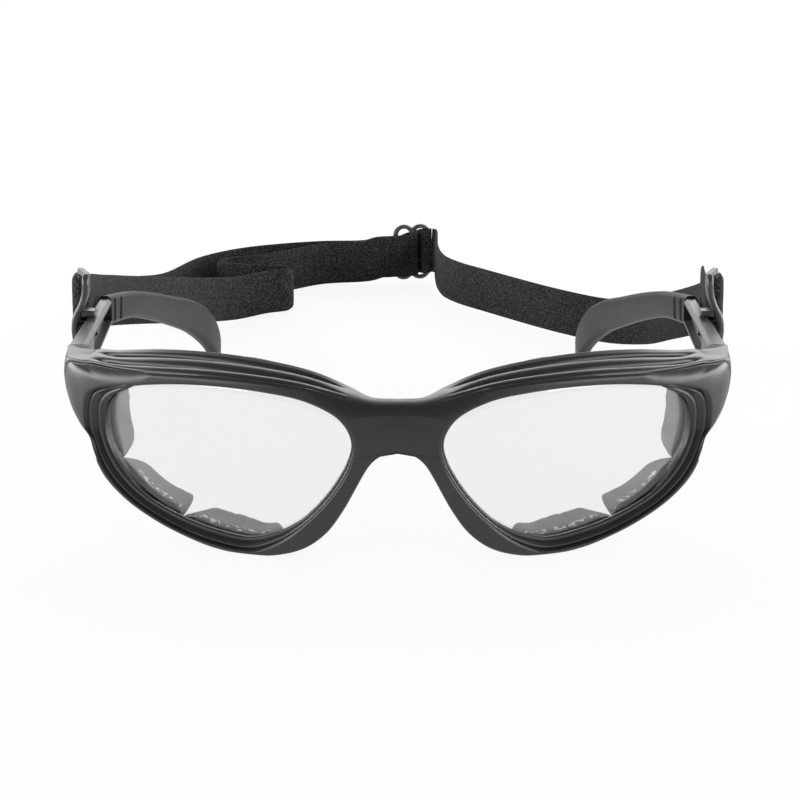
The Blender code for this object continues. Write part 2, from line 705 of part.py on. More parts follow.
def make_tip():
    bm = bmesh.new()
    bridge_rings(bm, tip_sections())
    tip = solid("left_temple_tip", bm, TIP_GREY, (HINGE_X, HINGE_Y, TONGUE_MIDDLE))
    tang = bmesh.new()
    start = ARM_REAR_Y - TANG_LENGTH
    end = ARM_REAR_Y + 2 * ARM_EDGE
    floor_gap = CHANNEL_DEPTH - TANG_THICKNESS - FIT_GAP
    bridge_rings(tang, [channel_section(y, FIT_GAP, floor_gap, -FIT_GAP) for y in (start, end)])
    combine(tip, "UNION", cutter("tang", tang))
    ground = box((-0.2, -0.2, -0.05), (0.2, 0.3, 0))
    combine(tip, "DIFFERENCE", cutter("table_at_tip", ground))
    return settle(tip)


# Strap clips

CLIP_SLOT_END_Y = CLIP_SLOT_START_Y + CLIP_SLOT_WIDTH
CLIP_REAR_Y = CLIP_SLOT_END_Y + CLIP_BAR
STRAP_CLIP_Z = 37.6 * MM
CLIP_SLOT_LOW = STRAP_CLIP_Z - STRAP_WIDTH / 2 - 2 * FIT_GAP
CLIP_SLOT_HIGH = STRAP_CLIP_Z + STRAP_WIDTH / 2 + 2 * FIT_GAP
CLIP_STEP = 1.3 * MM
CLIP_LAND = 0.1 * MM
CLIP_STRAP_ROOM = (STRAP_THICKNESS + CLIP_REAR_BAR_THICKNESS) / 2 + FIT_GAP
STRAP_INNER_X = arm_outer_x(CLIP_REAR_Y) + FIT_GAP + STRAP_THICKNESS / 2
STRAP_OUTER_X = STRAP_INNER_X + 2 * CLIP_STRAP_ROOM


def clip_edges(line, thickness):
    """The two faces of a bar that follows a line of (x, z) places: inner and outer (x, z) at each place."""
    found = []
    for i, (x, z) in enumerate(line):
        step = line[min(i + 1, len(line) - 1)] - line[max(i - 1, 0)]
        step /= np.linalg.norm(step)
        normal = np.array((step[1], -step[0])) * thickness / 2
        found.append(((x - normal[0], z - normal[1]), (x + normal[0], z + normal[1])))
    return found


def make_clip():
    profile = scaled(CLIP_PROFILE)
    profile[:, 1] = CLIP_SLOT_LOW + (CLIP_SLOT_HIGH - CLIP_SLOT_LOW) * profile[:, 1] / MM
    front_line = even_spline(profile, CLIP_STEP)
    heights = np.linspace(CLIP_SLOT_LOW - CLIP_END_BAR, CLIP_SLOT_HIGH + CLIP_END_BAR, len(front_line))
    rear_line = np.stack([np.full(len(heights), STRAP_INNER_X + CLIP_STRAP_ROOM), heights], axis=1)
    rings = []
    for front, rear in zip(
        clip_edges(front_line, CLIP_THICKNESS), clip_edges(rear_line, CLIP_REAR_BAR_THICKNESS)
    ):
        rise = front[0][1] - front_line[0][1]
        front_y = CLIP_FRONT_Y + CLIP_SWEEP * (1 - smoothstep(0, CLIP_SWEEP_HEIGHT, rise))
        ring = [(front[0], front_y), (front[1], front_y), (front[1], CLIP_SLOT_START_Y - CLIP_LAND)]
        ring += [(rear[1], CLIP_SLOT_END_Y + CLIP_LAND), (rear[1], CLIP_REAR_Y), (rear[0], CLIP_REAR_Y)]
        ring += [(rear[0], CLIP_SLOT_END_Y + CLIP_LAND), (front[0], CLIP_SLOT_START_Y - CLIP_LAND)]
        rings.append([Vector((x, y, z)) for (x, z), y in ring])
    bm = bmesh.new()
    bridge_rings(bm, rings)
    bmesh.ops.triangulate(bm, faces=bm.faces)
    arm_x = arm_outer_x(CLIP_PEG_Y)
    clip = solid("left_strap_clip", bm, CLIP_BLACK, (arm_x, CLIP_PEG_Y, CLIP_PEG_Z))
    slot = box(
        (arm_x - CLIP_THICKNESS, CLIP_SLOT_START_Y, CLIP_SLOT_LOW),
        (arm_x + 5 * CLIP_THICKNESS, CLIP_SLOT_END_Y, CLIP_SLOT_HIGH),
    )
    combine(clip, "DIFFERENCE", cutter("clip_slot", slot))
    plate_x = float(np.interp(CLIP_PEG_Z, front_line[:, 1], front_line[:, 0]))
    collar_x = arm_x + FIT_GAP
    collar = cylinder((collar_x, CLIP_PEG_Y, CLIP_PEG_Z), (1, 0, 0), plate_x - collar_x, CLIP_COLLAR_RADIUS)
    peg_x = arm_inner_x(CLIP_PEG_Y) + CHANNEL_DEPTH
    peg = cylinder((peg_x, CLIP_PEG_Y, CLIP_PEG_Z), (1, 0, 0), plate_x - peg_x, CLIP_PEG_RADIUS)
    ledge_z = arm_top(CLIP_SLOT_START_Y) + FIT_GAP
    ledge_top = ledge_z + CLIP_LEDGE_HEIGHT
    ledge_x = float(np.interp(ledge_top, front_line[:, 1], front_line[:, 0]))
    ledge = box(
        (arm_x - CLIP_LEDGE_REACH, CLIP_FRONT_Y + ARM_EDGE, ledge_z),
        (ledge_x, CLIP_SLOT_START_Y - ARM_EDGE, ledge_top),
    )
    for name, tool in (("clip_collar", collar), ("clip_peg", peg), ("clip_ledge", ledge)):
        combine(clip, "UNION", cutter(name, tool))
    return settle(clip)


# Strap and slider

STRAP_TABLE_Z = STRAP_WIDTH / 2 + TABLE_GAP
STRAP_SLIDER_Z = STRAP_TABLE_Z + SLIDER_RAIL + FIT_GAP
SLIDER_HEIGHT = STRAP_WIDTH + 2 * FIT_GAP + SLIDER_SLACK + 2 * SLIDER_RAIL
SLIDER_Z = SLIDER_HEIGHT / 2 + TABLE_GAP
HEADING = math.radians(SLIDER_HEADING)


def by_slider(along, behind):
    """A plan point from the slider's middle: along the strap and behind the slider, in millimetres."""
    x = SLIDER_CENTRE[0] + along * math.cos(HEADING) - behind * math.sin(HEADING)
    y = SLIDER_CENTRE[1] + along * math.sin(HEADING) + behind * math.cos(HEADING)
    return (x, y)


def strap_places(route):
    """Places along a strap's route, closer together where its points are."""
    fine = spline(route, STRAP_STEPS_MOST)
    places = [fine[0]]
    for i in range(len(route) - 1):
        span = fine[i * STRAP_STEPS_MOST : (i + 1) * STRAP_STEPS_MOST + 1]
        length = np.linalg.norm(np.diff(span, axis=0), axis=1).sum() * MM
        steps = min(max(math.ceil(length / STRAP_STEP), 2), STRAP_STEPS_MOST)
        places += [span[round(k * STRAP_STEPS_MOST / steps)] for k in range(1, steps + 1)]
    return np.array(places)


def ribbon(name, route):
    """A flat strap on edge along a route of (x, y, height of its middle)."""
    places = strap_places(route)
    rings = []
    for i, middle in enumerate(places * MM):
        step = places[min(i + 1, len(places) - 1)] - places[max(i - 1, 0)]
        ahead = Vector(step).normalized()
        up = (Vector((0, 0, 1)) - ahead * ahead.z).normalized()
        across = ahead.cross(up) * STRAP_THICKNESS / 2
        up *= STRAP_WIDTH / 2
        middle = Vector(middle)
        rings.append([middle + across + up, middle - across + up, middle - across - up, middle + across - up])
    bm = bmesh.new()
    bridge_rings(bm, rings)
    length = float(np.linalg.norm(np.diff(places, axis=0), axis=1).sum())
    print(f"{name}: {length:.0f} mm long")
    return solid(name, bm, STRAP_KNIT)


CLIP_Z = STRAP_CLIP_Z / MM
TABLE_Z = STRAP_TABLE_Z / MM
IN_SLIDER_Z = STRAP_SLIDER_Z / MM
INNER_X = STRAP_INNER_X / MM
OUTER_X = STRAP_OUTER_X / MM
BAR_X = (INNER_X + OUTER_X) / 2

# The sewn end round the slider's middle bar, in to the right clip with a slack fold, and back outside it to
# the slider
SEWN_END = (
    (-0.3, 1.3), (0.3, 1.3), (1.0, 1.2), (1.5, 0.6), (1.5, -0.6), (1.0, -1.25), (-0.4, -1.4),
    (-2.0, -1.75), (-3.6, -2.35), (-5.2, -2.65), (-7.5, -2.95), (-10.5, -3.1), (-14.0, -3.2, 7.2),
)
OUTER_STRAND = (
    (-23.0, 252.6, 6.6), (-35.0, 249.3, TABLE_Z), (-47.0, 242.8, TABLE_Z), (-57.5, 231.0, TABLE_Z),
    (-65.8, 208.0, 6.9), (-71.0, 180.0, 12.0), (-74.2, 150.0, 19.0), (-75.3, 122.0, 25.4),
    (-75.2, 98.0, 31.0), (-74.4, 80.0, 35.3),
)
CLIP_TURN = (
    (-OUTER_X - 0.2, 70.0, 37.4), (-OUTER_X, 65.2, CLIP_Z), (-OUTER_X + 0.4, 63.7, CLIP_Z),
    (-BAR_X, 62.9, CLIP_Z), (-INNER_X - 0.4, 63.7, CLIP_Z), (-INNER_X, 65.2, CLIP_Z), (-INNER_X, 70.0, 37.2),
)
INNER_STRAND = (
    (-70.6, 79.0, 35.2), (-70.7, 96.0, 31.2), (-69.5, 118.0, 26.1), (-66.0, 145.0, 19.8),
    (-59.5, 172.0, 13.4), (-52.0, 193.0, 8.6), (-45.0, 204.5, TABLE_Z), (-37.5, 211.5, TABLE_Z),
    (-31.8, 214.6, TABLE_Z), (-30.6, 216.6, TABLE_Z), (-32.6, 218.4, TABLE_Z), (-41.0, 219.8, TABLE_Z),
    (-49.0, 222.5, TABLE_Z), (-52.4, 226.0, TABLE_Z), (-50.0, 229.4, TABLE_Z), (-43.0, 232.4, TABLE_Z),
    (-33.0, 240.0, TABLE_Z), (-22.5, 248.6, 6.6),
)
THROUGH_SLIDER = (
    (-14.0, -1.6, 7.2), (-10.5, -1.6), (-7.5, -1.5), (-5.2, -1.4), (-3.9, -1.25), (-3.0, -0.35), (-2.1, 0.8),
    (-1.1, 2.1), (0.2, 2.6), (1.5, 2.3), (2.4, 1.3), (3.0, 0.0), (3.6, -1.0), (4.6, -1.45), (5.6, -1.5),
)
LEAD_OUT = (0.8, -0.25)
LEFT_STRAND = (
    (11.3, 254.3, IN_SLIDER_Z), (11.4, 252.0, 7.9), (11.4, 248.0, 7.5), (12.0, 240.0, 6.9),
    (13.7, 232.0, TABLE_Z), (18.0, 223.0, TABLE_Z), (24.0, 214.8, TABLE_Z), (45.0, 188.0, TABLE_Z),
    (57.0, 177.0, TABLE_Z), (65.5, 166.5, 8.8), (71.4, 147.0, 15.2), (74.6, 122.0, 22.8), (75.2, 98.0, 30.0),
    (74.5, 80.0, 35.2),
)
HEMMED_TAIL = ((INNER_X + 0.2, 75.0, 37.2), (INNER_X + 0.6, 80.0, 37.0))


def slider_route(points):
    """Places of the strap at the slider, at the slots' height unless a point gives its own."""
    return [(*by_slider(*point[:2]), point[2] if len(point) > 2 else IN_SLIDER_Z) for point in points]


def make_strap():
    loop = OUTER_STRAND + CLIP_TURN + INNER_STRAND
    right = slider_route(SEWN_END) + list(loop[::-1]) + slider_route(THROUGH_SLIDER)
    ribbon("right_strap_loop", right)
    along, behind = THROUGH_SLIDER[-1]
    start = slider_route([(along + FIT_GAP / MM, behind), (along + LEAD_OUT[0], behind + LEAD_OUT[1])])
    turn = [(-x, y, z) for x, y, z in CLIP_TURN]
    ribbon("left_strap_strand", start + list(LEFT_STRAND) + turn + list(HEMMED_TAIL))


def make_slider():
    """A flat frame with two slots beside a middle bar."""
    half = SLIDER_LENGTH / 2
    tall = SLIDER_HEIGHT / 2
    thick = SLIDER_THICKNESS / 2
    slider = solid("strap_slider", box((-half, -thick, -tall), (half, thick, tall)), CLIP_BLACK)
    slot_half = tall - SLIDER_RAIL
    for name, low, high in (
        ("slider_slot_right", -half + SLIDER_BAR, -SLIDER_BAR / 2),
        ("slider_slot_left", SLIDER_BAR / 2, half - SLIDER_BAR),
    ):
        slot = box((low, -2 * thick, -slot_half), (high, 2 * thick, slot_half))
        combine(slider, "DIFFERENCE", cutter(name, slot))
    settle(slider)
    slider.location = (SLIDER_CENTRE[0] * MM, SLIDER_CENTRE[1] * MM, SLIDER_Z)
    slider.rotation_euler = (0, 0, HEADING)
    return slider


def assemble():
    """All parts, under one empty that puts the origin below the middle of the glasses."""
    make_front()
    for make, name in (
        (make_screw, "hinge_screw"), (make_lens, "lens"), (make_foam, "foam_gasket"),
        (make_arm, "temple_arm"), (make_tip, "temple_tip"), (make_clip, "strap_clip"),
    ):
        mirrored(make(), f"right_{name}")
    make_strap()
    make_slider()
    ahead = on_front(0, CENTRE[1], 0).y
    behind = max((part.matrix_world @ Vector(corner)).y for part in PARTS.objects
                 if part.name == "left_temple_tip" for corner in part.bound_box)
    base = bpy.data.objects.new("glasses_base", None)
    base.location.y = -(ahead + behind) / 2
    PARTS.objects.link(base)
    for part in PARTS.objects:
        if part is not base:
            part.parent = base


assemble()
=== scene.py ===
"""Padded sports glasses, dressed: a wrap-around front with clear lenses and foam gaskets, folding temples
and an elastic head strap, on a pale table. Left and right are the wearer's: left is +X, and the front
faces -Y.
"""

import json
import math

import bmesh
import bpy
import numpy as np
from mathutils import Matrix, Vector


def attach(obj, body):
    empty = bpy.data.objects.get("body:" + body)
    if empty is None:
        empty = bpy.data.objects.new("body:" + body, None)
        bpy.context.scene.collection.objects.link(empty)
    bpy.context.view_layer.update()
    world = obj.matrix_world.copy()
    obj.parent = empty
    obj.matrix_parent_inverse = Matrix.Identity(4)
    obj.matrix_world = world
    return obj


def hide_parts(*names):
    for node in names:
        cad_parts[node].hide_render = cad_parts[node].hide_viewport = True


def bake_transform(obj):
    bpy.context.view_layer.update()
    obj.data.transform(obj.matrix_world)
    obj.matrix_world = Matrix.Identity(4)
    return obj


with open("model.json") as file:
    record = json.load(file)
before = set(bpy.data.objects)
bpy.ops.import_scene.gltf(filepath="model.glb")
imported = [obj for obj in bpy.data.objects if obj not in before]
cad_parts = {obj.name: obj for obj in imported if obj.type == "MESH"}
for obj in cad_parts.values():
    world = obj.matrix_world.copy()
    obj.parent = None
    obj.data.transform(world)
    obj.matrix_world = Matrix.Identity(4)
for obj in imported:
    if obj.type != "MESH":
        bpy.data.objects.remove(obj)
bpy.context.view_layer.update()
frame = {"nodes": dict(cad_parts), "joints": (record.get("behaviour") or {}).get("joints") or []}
nodes = frame["nodes"]
scene = bpy.context.scene


# Table, light and camera: a pale table top under a large soft box, with four smaller ones at the sides. The
# camera stands in front of the glasses and looks down on them a little.

TABLE_SIZE = 16.0
TABLE_COLOUR = (0.86, 0.86, 0.86)
TABLE_DROP = 0.0002
PAPER_SHARE = 0.9
ROOM_LIGHT = 0.22
CAMERA_PLACE = (0.0005, -0.5692, 0.1697)
CAMERA_TILT = 74.5
CAMERA_LENS = 113.49
CAMERA_SENSOR = 36.0
SOFT_BOXES = (
    ("back_box", (0.0, 0.92, 0.54), (0.0, 0.0, 0.03), (1.6, 0.55), 10.5),
    ("right_front_box", (-0.74, -0.52, 0.31), (0.0, 0.0, 0.03), (0.6, 0.42), 3.0),
    ("left_front_box", (0.74, -0.52, 0.31), (0.0, 0.0, 0.03), (0.6, 0.42), 3.0),
    ("right_side_box", (-0.77, 0.18, 0.19), (0.0, 0.0, 0.03), (0.9, 0.37), 7.0),
    ("left_side_box", (0.77, 0.18, 0.19), (0.0, 0.0, 0.03), (0.9, 0.37), 7.0),
)


def seen_rays(tree):
    """1 for rays from the camera, and for those that a lens or a shiny face sends on."""
    path = tree.nodes.new("ShaderNodeLightPath")
    most = path.outputs["Is Camera Ray"]
    for other in ("Is Glossy Ray", "Is Transmission Ray"):
        larger = tree.nodes.new("ShaderNodeMath")
        larger.operation = "MAXIMUM"
        tree.links.new(most, larger.inputs[0])
        tree.links.new(path.outputs[other], larger.inputs[1])
        most = larger.outputs["Value"]
    return most


def make_table():
    half = TABLE_SIZE / 2
    mesh = bpy.data.meshes.new("table_top")
    corners = [(-half, -half), (half, -half), (half, half), (-half, half)]
    mesh.from_pydata([(x, y, -TABLE_DROP) for x, y in corners], [], [(0, 1, 2, 3)])
    table = bpy.data.objects.new("table_top", mesh)
    scene.collection.objects.link(table)
    paper = bpy.data.materials.new("white_paper")
    paper.use_nodes = True
    tree = paper.node_tree
    matt = tree.nodes["Principled BSDF"]
    matt.inputs["Base Color"].default_value = (*TABLE_COLOUR, 1)
    matt.inputs["Roughness"].default_value = 0.9
    matt.inputs["Specular IOR Level"].default_value = 0.1
    white = tree.nodes.new("ShaderNodeEmission")
    share = tree.nodes.new("ShaderNodeMath")
    share.operation = "MULTIPLY"
    share.inputs[1].default_value = PAPER_SHARE
    tree.links.new(seen_rays(tree), share.inputs[0])
    mix = tree.nodes.new("ShaderNodeMixShader")
    tree.links.new(share.outputs["Value"], mix.inputs["Fac"])
    tree.links.new(matt.outputs["BSDF"], mix.inputs[1])
    tree.links.new(white.outputs["Emission"], mix.inputs[2])
    tree.links.new(mix.outputs["Shader"], tree.nodes["Material Output"].inputs["Surface"])
    mesh.materials.append(paper)


def light_room():
    room = bpy.data.worlds.new("pale_room")
    scene.world = room
    room.use_nodes = True
    tree = room.node_tree
    sky = tree.nodes["Background"]
    sky.inputs["Color"].default_value = (1, 1, 1, 1)
    sky.inputs["Strength"].default_value = ROOM_LIGHT
    for name, place, aim, size, power in SOFT_BOXES:
        lamp = bpy.data.lights.new(name, "AREA")
        lamp.shape = "RECTANGLE"
        lamp.size, lamp.size_y = size
        lamp.energy = power
        holder = bpy.data.objects.new(name, lamp)
        holder.location = place
        holder.visible_camera = False
        holder.rotation_euler = (Vector(aim) - Vector(place)).to_track_quat("-Z", "Y").to_euler()
        scene.collection.objects.link(holder)


def set_camera():
    data = bpy.data.cameras.new("front_camera")
    data.lens = CAMERA_LENS
    data.sensor_width = CAMERA_SENSOR
    camera = bpy.data.objects.new("front_camera", data)
    camera.location = CAMERA_PLACE
    camera.rotation_euler = (math.radians(CAMERA_TILT), 0, 0)
    scene.collection.objects.link(camera)
    scene.camera = camera


make_table()
light_room()
set_camera()
scene.view_settings.view_transform = "Standard"


# Front: one moulding of satin black nylon with two rims, a low bridge, a ribbed brow and an end-piece at each
# side. It is wrapped round the face, and hinge lugs stand back from the end-pieces.

MM = 0.001
WRAP_RADIUS = 100.0
CROWN_RADIUS = 110.0
FRONT_Y = -6.2
HINGE = (68.7, 40.2)
LENS_CENTRE = (36.5, 18.5)
LENS_OPENING = (
    (9.2, 25.6), (10.0, 21.2), (13.5, 14.9), (19.2, 8.4), (24.6, 4.4), (31.0, 2.1), (38.5, 2.7),
    (47.0, 5.0), (56.0, 9.4), (61.6, 15.2), (64.2, 22.3), (63.4, 28.8), (57.0, 32.2), (48.4, 34.2),
    (38.5, 35.1), (27.5, 34.8), (18.4, 33.3), (11.6, 29.8),
)
RIM_LOWER_EDGE = (
    (-4.0, 24.25), (0.0, 23.64), (2.2, 23.3), (4.0, 22.4), (5.65, 20.8), (7.25, 18.2), (8.3, 16.2),
    (11.2, 10.8), (14.6, 5.9), (19.0, 2.3), (24.5, 0.3), (31.0, -0.4), (38.6, 0.4), (44.1, 1.9),
    (50.8, 4.4), (57.5, 8.0), (62.2, 12.2), (64.6, 16.8), (65.6, 20.2),
)
END_PIECE_EDGE = ((68.0, 22.5), (69.9, 25.0), (71.1, 28.2), (71.5, 31.5), (70.5, 34.6))
FRONT_TOP_EDGE = (
    (66.5, 35.2), (58.0, 35.4), (50.5, 36.0), (40.0, 36.8), (29.0, 36.9), (19.5, 36.2), (11.5, 34.6),
    (5.0, 33.0), (-4.0, 32.3),
)
BROW_TOP_EDGE = (
    (69.4, 36.3), (63.5, 37.5), (54.0, 39.2), (44.3, 40.0), (34.0, 39.9), (23.6, 38.9), (16.9, 37.5),
    (10.3, 35.1), (5.6, 33.1), (-4.0, 31.8),
)
LIP_DEPTH = 1.5
INNER_LIP = 1.7
RIM_CHAMFER = 1.9
PLAIN_CHAMFER = 0.7
PLAIN_LIP_DEPTH = 0.6
BEAD_ANGLES = (-180, -150, -125, -100, 22, 38, 152, 180)
BEAD_SHARES = (0.3, 0.3, 0.7, 1.0, 1.0, 0.0, 0.0, 0.3)
RIM_BEAD = ((-1.1, 0.90), (-0.2, 1.45), (0.75, 0.35), (1.4, 0.95))
PLAIN_SHARES = (0.15, 0.4, 0.65, 0.85)
CHAMFER_MOST = 0.6
BEAD_EASE = (0.45, 5)
RIDGE_EASE = (0.5, 5)
BACK_EASE = (0.35, 4)
SEAT_EASE = (0.2, 3)
EASE_MOST = 0.46
EDGE_ROUND = 0.7
BACK_ROUND = 0.3
RIM_DEPTH_BELOW = 6.0
RIM_DEPTH_ABOVE = 8.0
FOAM_SEAT = 1.9
GROOVE_START = 1.8
GROOVE_END = 4.3
GROOVE_REACH = 1.2
BACK_LIP = 0.3
HINGE_FACE_Y = 38.15
HINGE_HEIGHTS = (26.4, 35.0)
HINGE_FACE_X = (67.6, 71.6)
BRIDGE_SPAN = (146, 158, 166, 172)
BRIDGE_THINNER = 3.0
BRIDGE_RISE = 0.9
END_PIECE_SPAN = (5.0, 26.0)
END_PIECE_BLEND = 3.0
END_PIECE_STATIONS = (10, 14)
RIM_STATIONS = 420
STATION_GAP = 0.006
BRIDGE_STATIONS = (
    (150, 171, 0.6), (171, 171.8, 0.2), (171.85, 172.1, 0.05), (172.2, 176, 0.3), (176, 180, 0.8),
)
BROW_RIBS = (0.0, 0.13, 0.40, 0.76, 1.0)
BROW_VALLEYS = (0.0, 1.0, 1.3, 1.3, 0.0)
BROW_ENDS = (
    (0, 0, 0, 0), (6, 20, 134, 152), (29, 34, 136, 150), (29, 36, 132, 148), (0, 0, 0, 0),
)
RIB_STEPS = (1 - np.cos(np.linspace(0, math.pi, 11))) / 2
BROW_PLACES = np.unique(np.round([
    low + (high - low) * step for low, high in zip(BROW_RIBS, BROW_RIBS[1:]) for step in RIB_STEPS
], 4))[1:-2]
RIB_POWER = 4.0
CREASE_POWER = 1.5
CREASE_END = (24, 50)
ROUND_ANGLES = (-7, -2, 26, 50, 138, 152, 162, 168)
EDGE_ROUNDS = (0.8, 7.0, 7.0, 0.8, 0.8, 6.0, 6.0, 0.8)
ROUND_MOST = (0.9, 0.8)
SHARP_ANGLE = 40
HALVES_MERGE = 0.00001

BACK_Y = frame["joints"][0]["pos_m"][1] / MM - HINGE[1]


def smoothstep(low, high, value):
    share = min(max((value - low) / (high - low), 0.0), 1.0)
    return share * share * (3 - 2 * share)


def spline(points, steps, closed=False):
    """A smooth curve through the points, with steps places on each span and no overshoot at uneven spans."""
    points = np.array(points, float)
    if closed:
        padded = np.vstack([points[-1:], points, points[:2]])
    else:
        padded = np.vstack([2 * points[:1] - points[1:2], points, 2 * points[-1:] - points[-2:-1]])
    knots = np.sqrt(np.linalg.norm(np.diff(padded[:, :3], axis=0), axis=1))
    found = []
    for i in range(len(points) if closed else len(points) - 1):
        a, b, c, d = padded[i : i + 4]
        before, across, after = knots[i : i + 3]
        leave = ((b - a) / before - (c - a) / (before + across) + (c - b) / across) * across
        arrive = ((c - b) / across - (d - b) / (across + after) + (d - c) / after) * across
        for t in np.arange(steps) / steps:
            rise = b + leave * t + (3 * (c - b) - 2 * leave - arrive) * t**2
            found.append(rise + (leave + arrive - 2 * (c - b)) * t**3)
    if not closed:
        found.append(points[-1])
    return np.array(found)


def even_spline(points, spacing):
    """A smooth open curve through the points, at even steps of about the spacing."""
    fine = spline(points, 40)
    run = np.concatenate([[0], np.cumsum(np.linalg.norm(np.diff(fine[:, :3], axis=0), axis=1))])
    places = np.linspace(0, run[-1], max(int(round(run[-1] / spacing)), 2) + 1)
    return np.stack([np.interp(places, run, fine[:, k]) for k in range(fine.shape[1])], axis=1)


def on_front(x, z, depth):
    """A point at front-view place (x, z), this far behind the wrapped lens face."""
    lean = math.asin(x / WRAP_RADIUS)
    crown = (z - LENS_CENTRE[1]) ** 2 / (2 * CROWN_RADIUS)
    y = FRONT_Y + WRAP_RADIUS - (WRAP_RADIUS - depth) * math.cos(lean) + crown
    return np.array((x - depth * math.sin(lean), y, z))


def round_centre(outline):
    """An outline as seen from the lens centre: angles from +X and how far it lies there."""
    places = spline(outline, 20, closed=True) - LENS_CENTRE
    return np.arctan2(places[:, 1], places[:, 0]), np.hypot(places[:, 0], places[:, 1])


OPENING = round_centre(LENS_OPENING)
FRONT_EDGE = round_centre(RIM_LOWER_EDGE + END_PIECE_EDGE + FRONT_TOP_EDGE)
BACK_EDGE = round_centre(RIM_LOWER_EDGE + END_PIECE_EDGE + BROW_TOP_EDGE)


def reach(outline, angle):
    return np.interp(angle, *outline, period=2 * math.pi)


def place(angle, radius, depth):
    x = LENS_CENTRE[0] + radius * math.cos(angle)
    return on_front(x, LENS_CENTRE[1] + radius * math.sin(angle), depth)


def rim_depth(angle):
    middle = (RIM_DEPTH_ABOVE + RIM_DEPTH_BELOW) / 2
    return middle + (RIM_DEPTH_ABOVE - RIM_DEPTH_BELOW) / 2 * math.sin(angle)


def even_angles(count, *outlines, start=-math.pi):
    """Angles round the lens, at even steps along the outlines taken together."""
    fine = start + np.linspace(0, 2 * math.pi, 1440)
    run = np.zeros(len(fine))
    for outline in outlines:
        radii = reach(outline, fine)
        run[1:] += np.cumsum(np.hypot(np.diff(radii * np.cos(fine)), np.diff(radii * np.sin(fine))))
    found = np.interp(np.arange(count) / count * run[-1], run, fine)
    return [float((angle + math.pi) % (2 * math.pi) - math.pi) for angle in found]


def end_piece_share(angle, margin=0.0):
    """1 where the rim runs back into the end-piece, 0 elsewhere."""
    low = END_PIECE_SPAN[0] - margin
    high = END_PIECE_SPAN[1] + margin
    degrees = math.degrees(angle)
    rise = smoothstep(low - END_PIECE_BLEND, low, degrees)
    return rise - smoothstep(high, high + END_PIECE_BLEND, degrees)


def eased(points, corners):
    """A line of points with its listed corners rounded: index, size along both sides, and steps."""
    found = []
    for i, point in enumerate(points):
        if i not in corners:
            found.append(point)
            continue
        size, steps = corners[i]
        sides = []
        for other in (points[i - 1], points[(i + 1) % len(points)]):
            away = other - point
            length = np.linalg.norm(away)
            sides.append(point + away * min(size / max(length, 1e-6), EASE_MOST))
        for t in np.linspace(0, 1, steps):
            found.append((1 - t) ** 2 * sides[0] + 2 * t * (1 - t) * point + t**2 * sides[1])
    return found


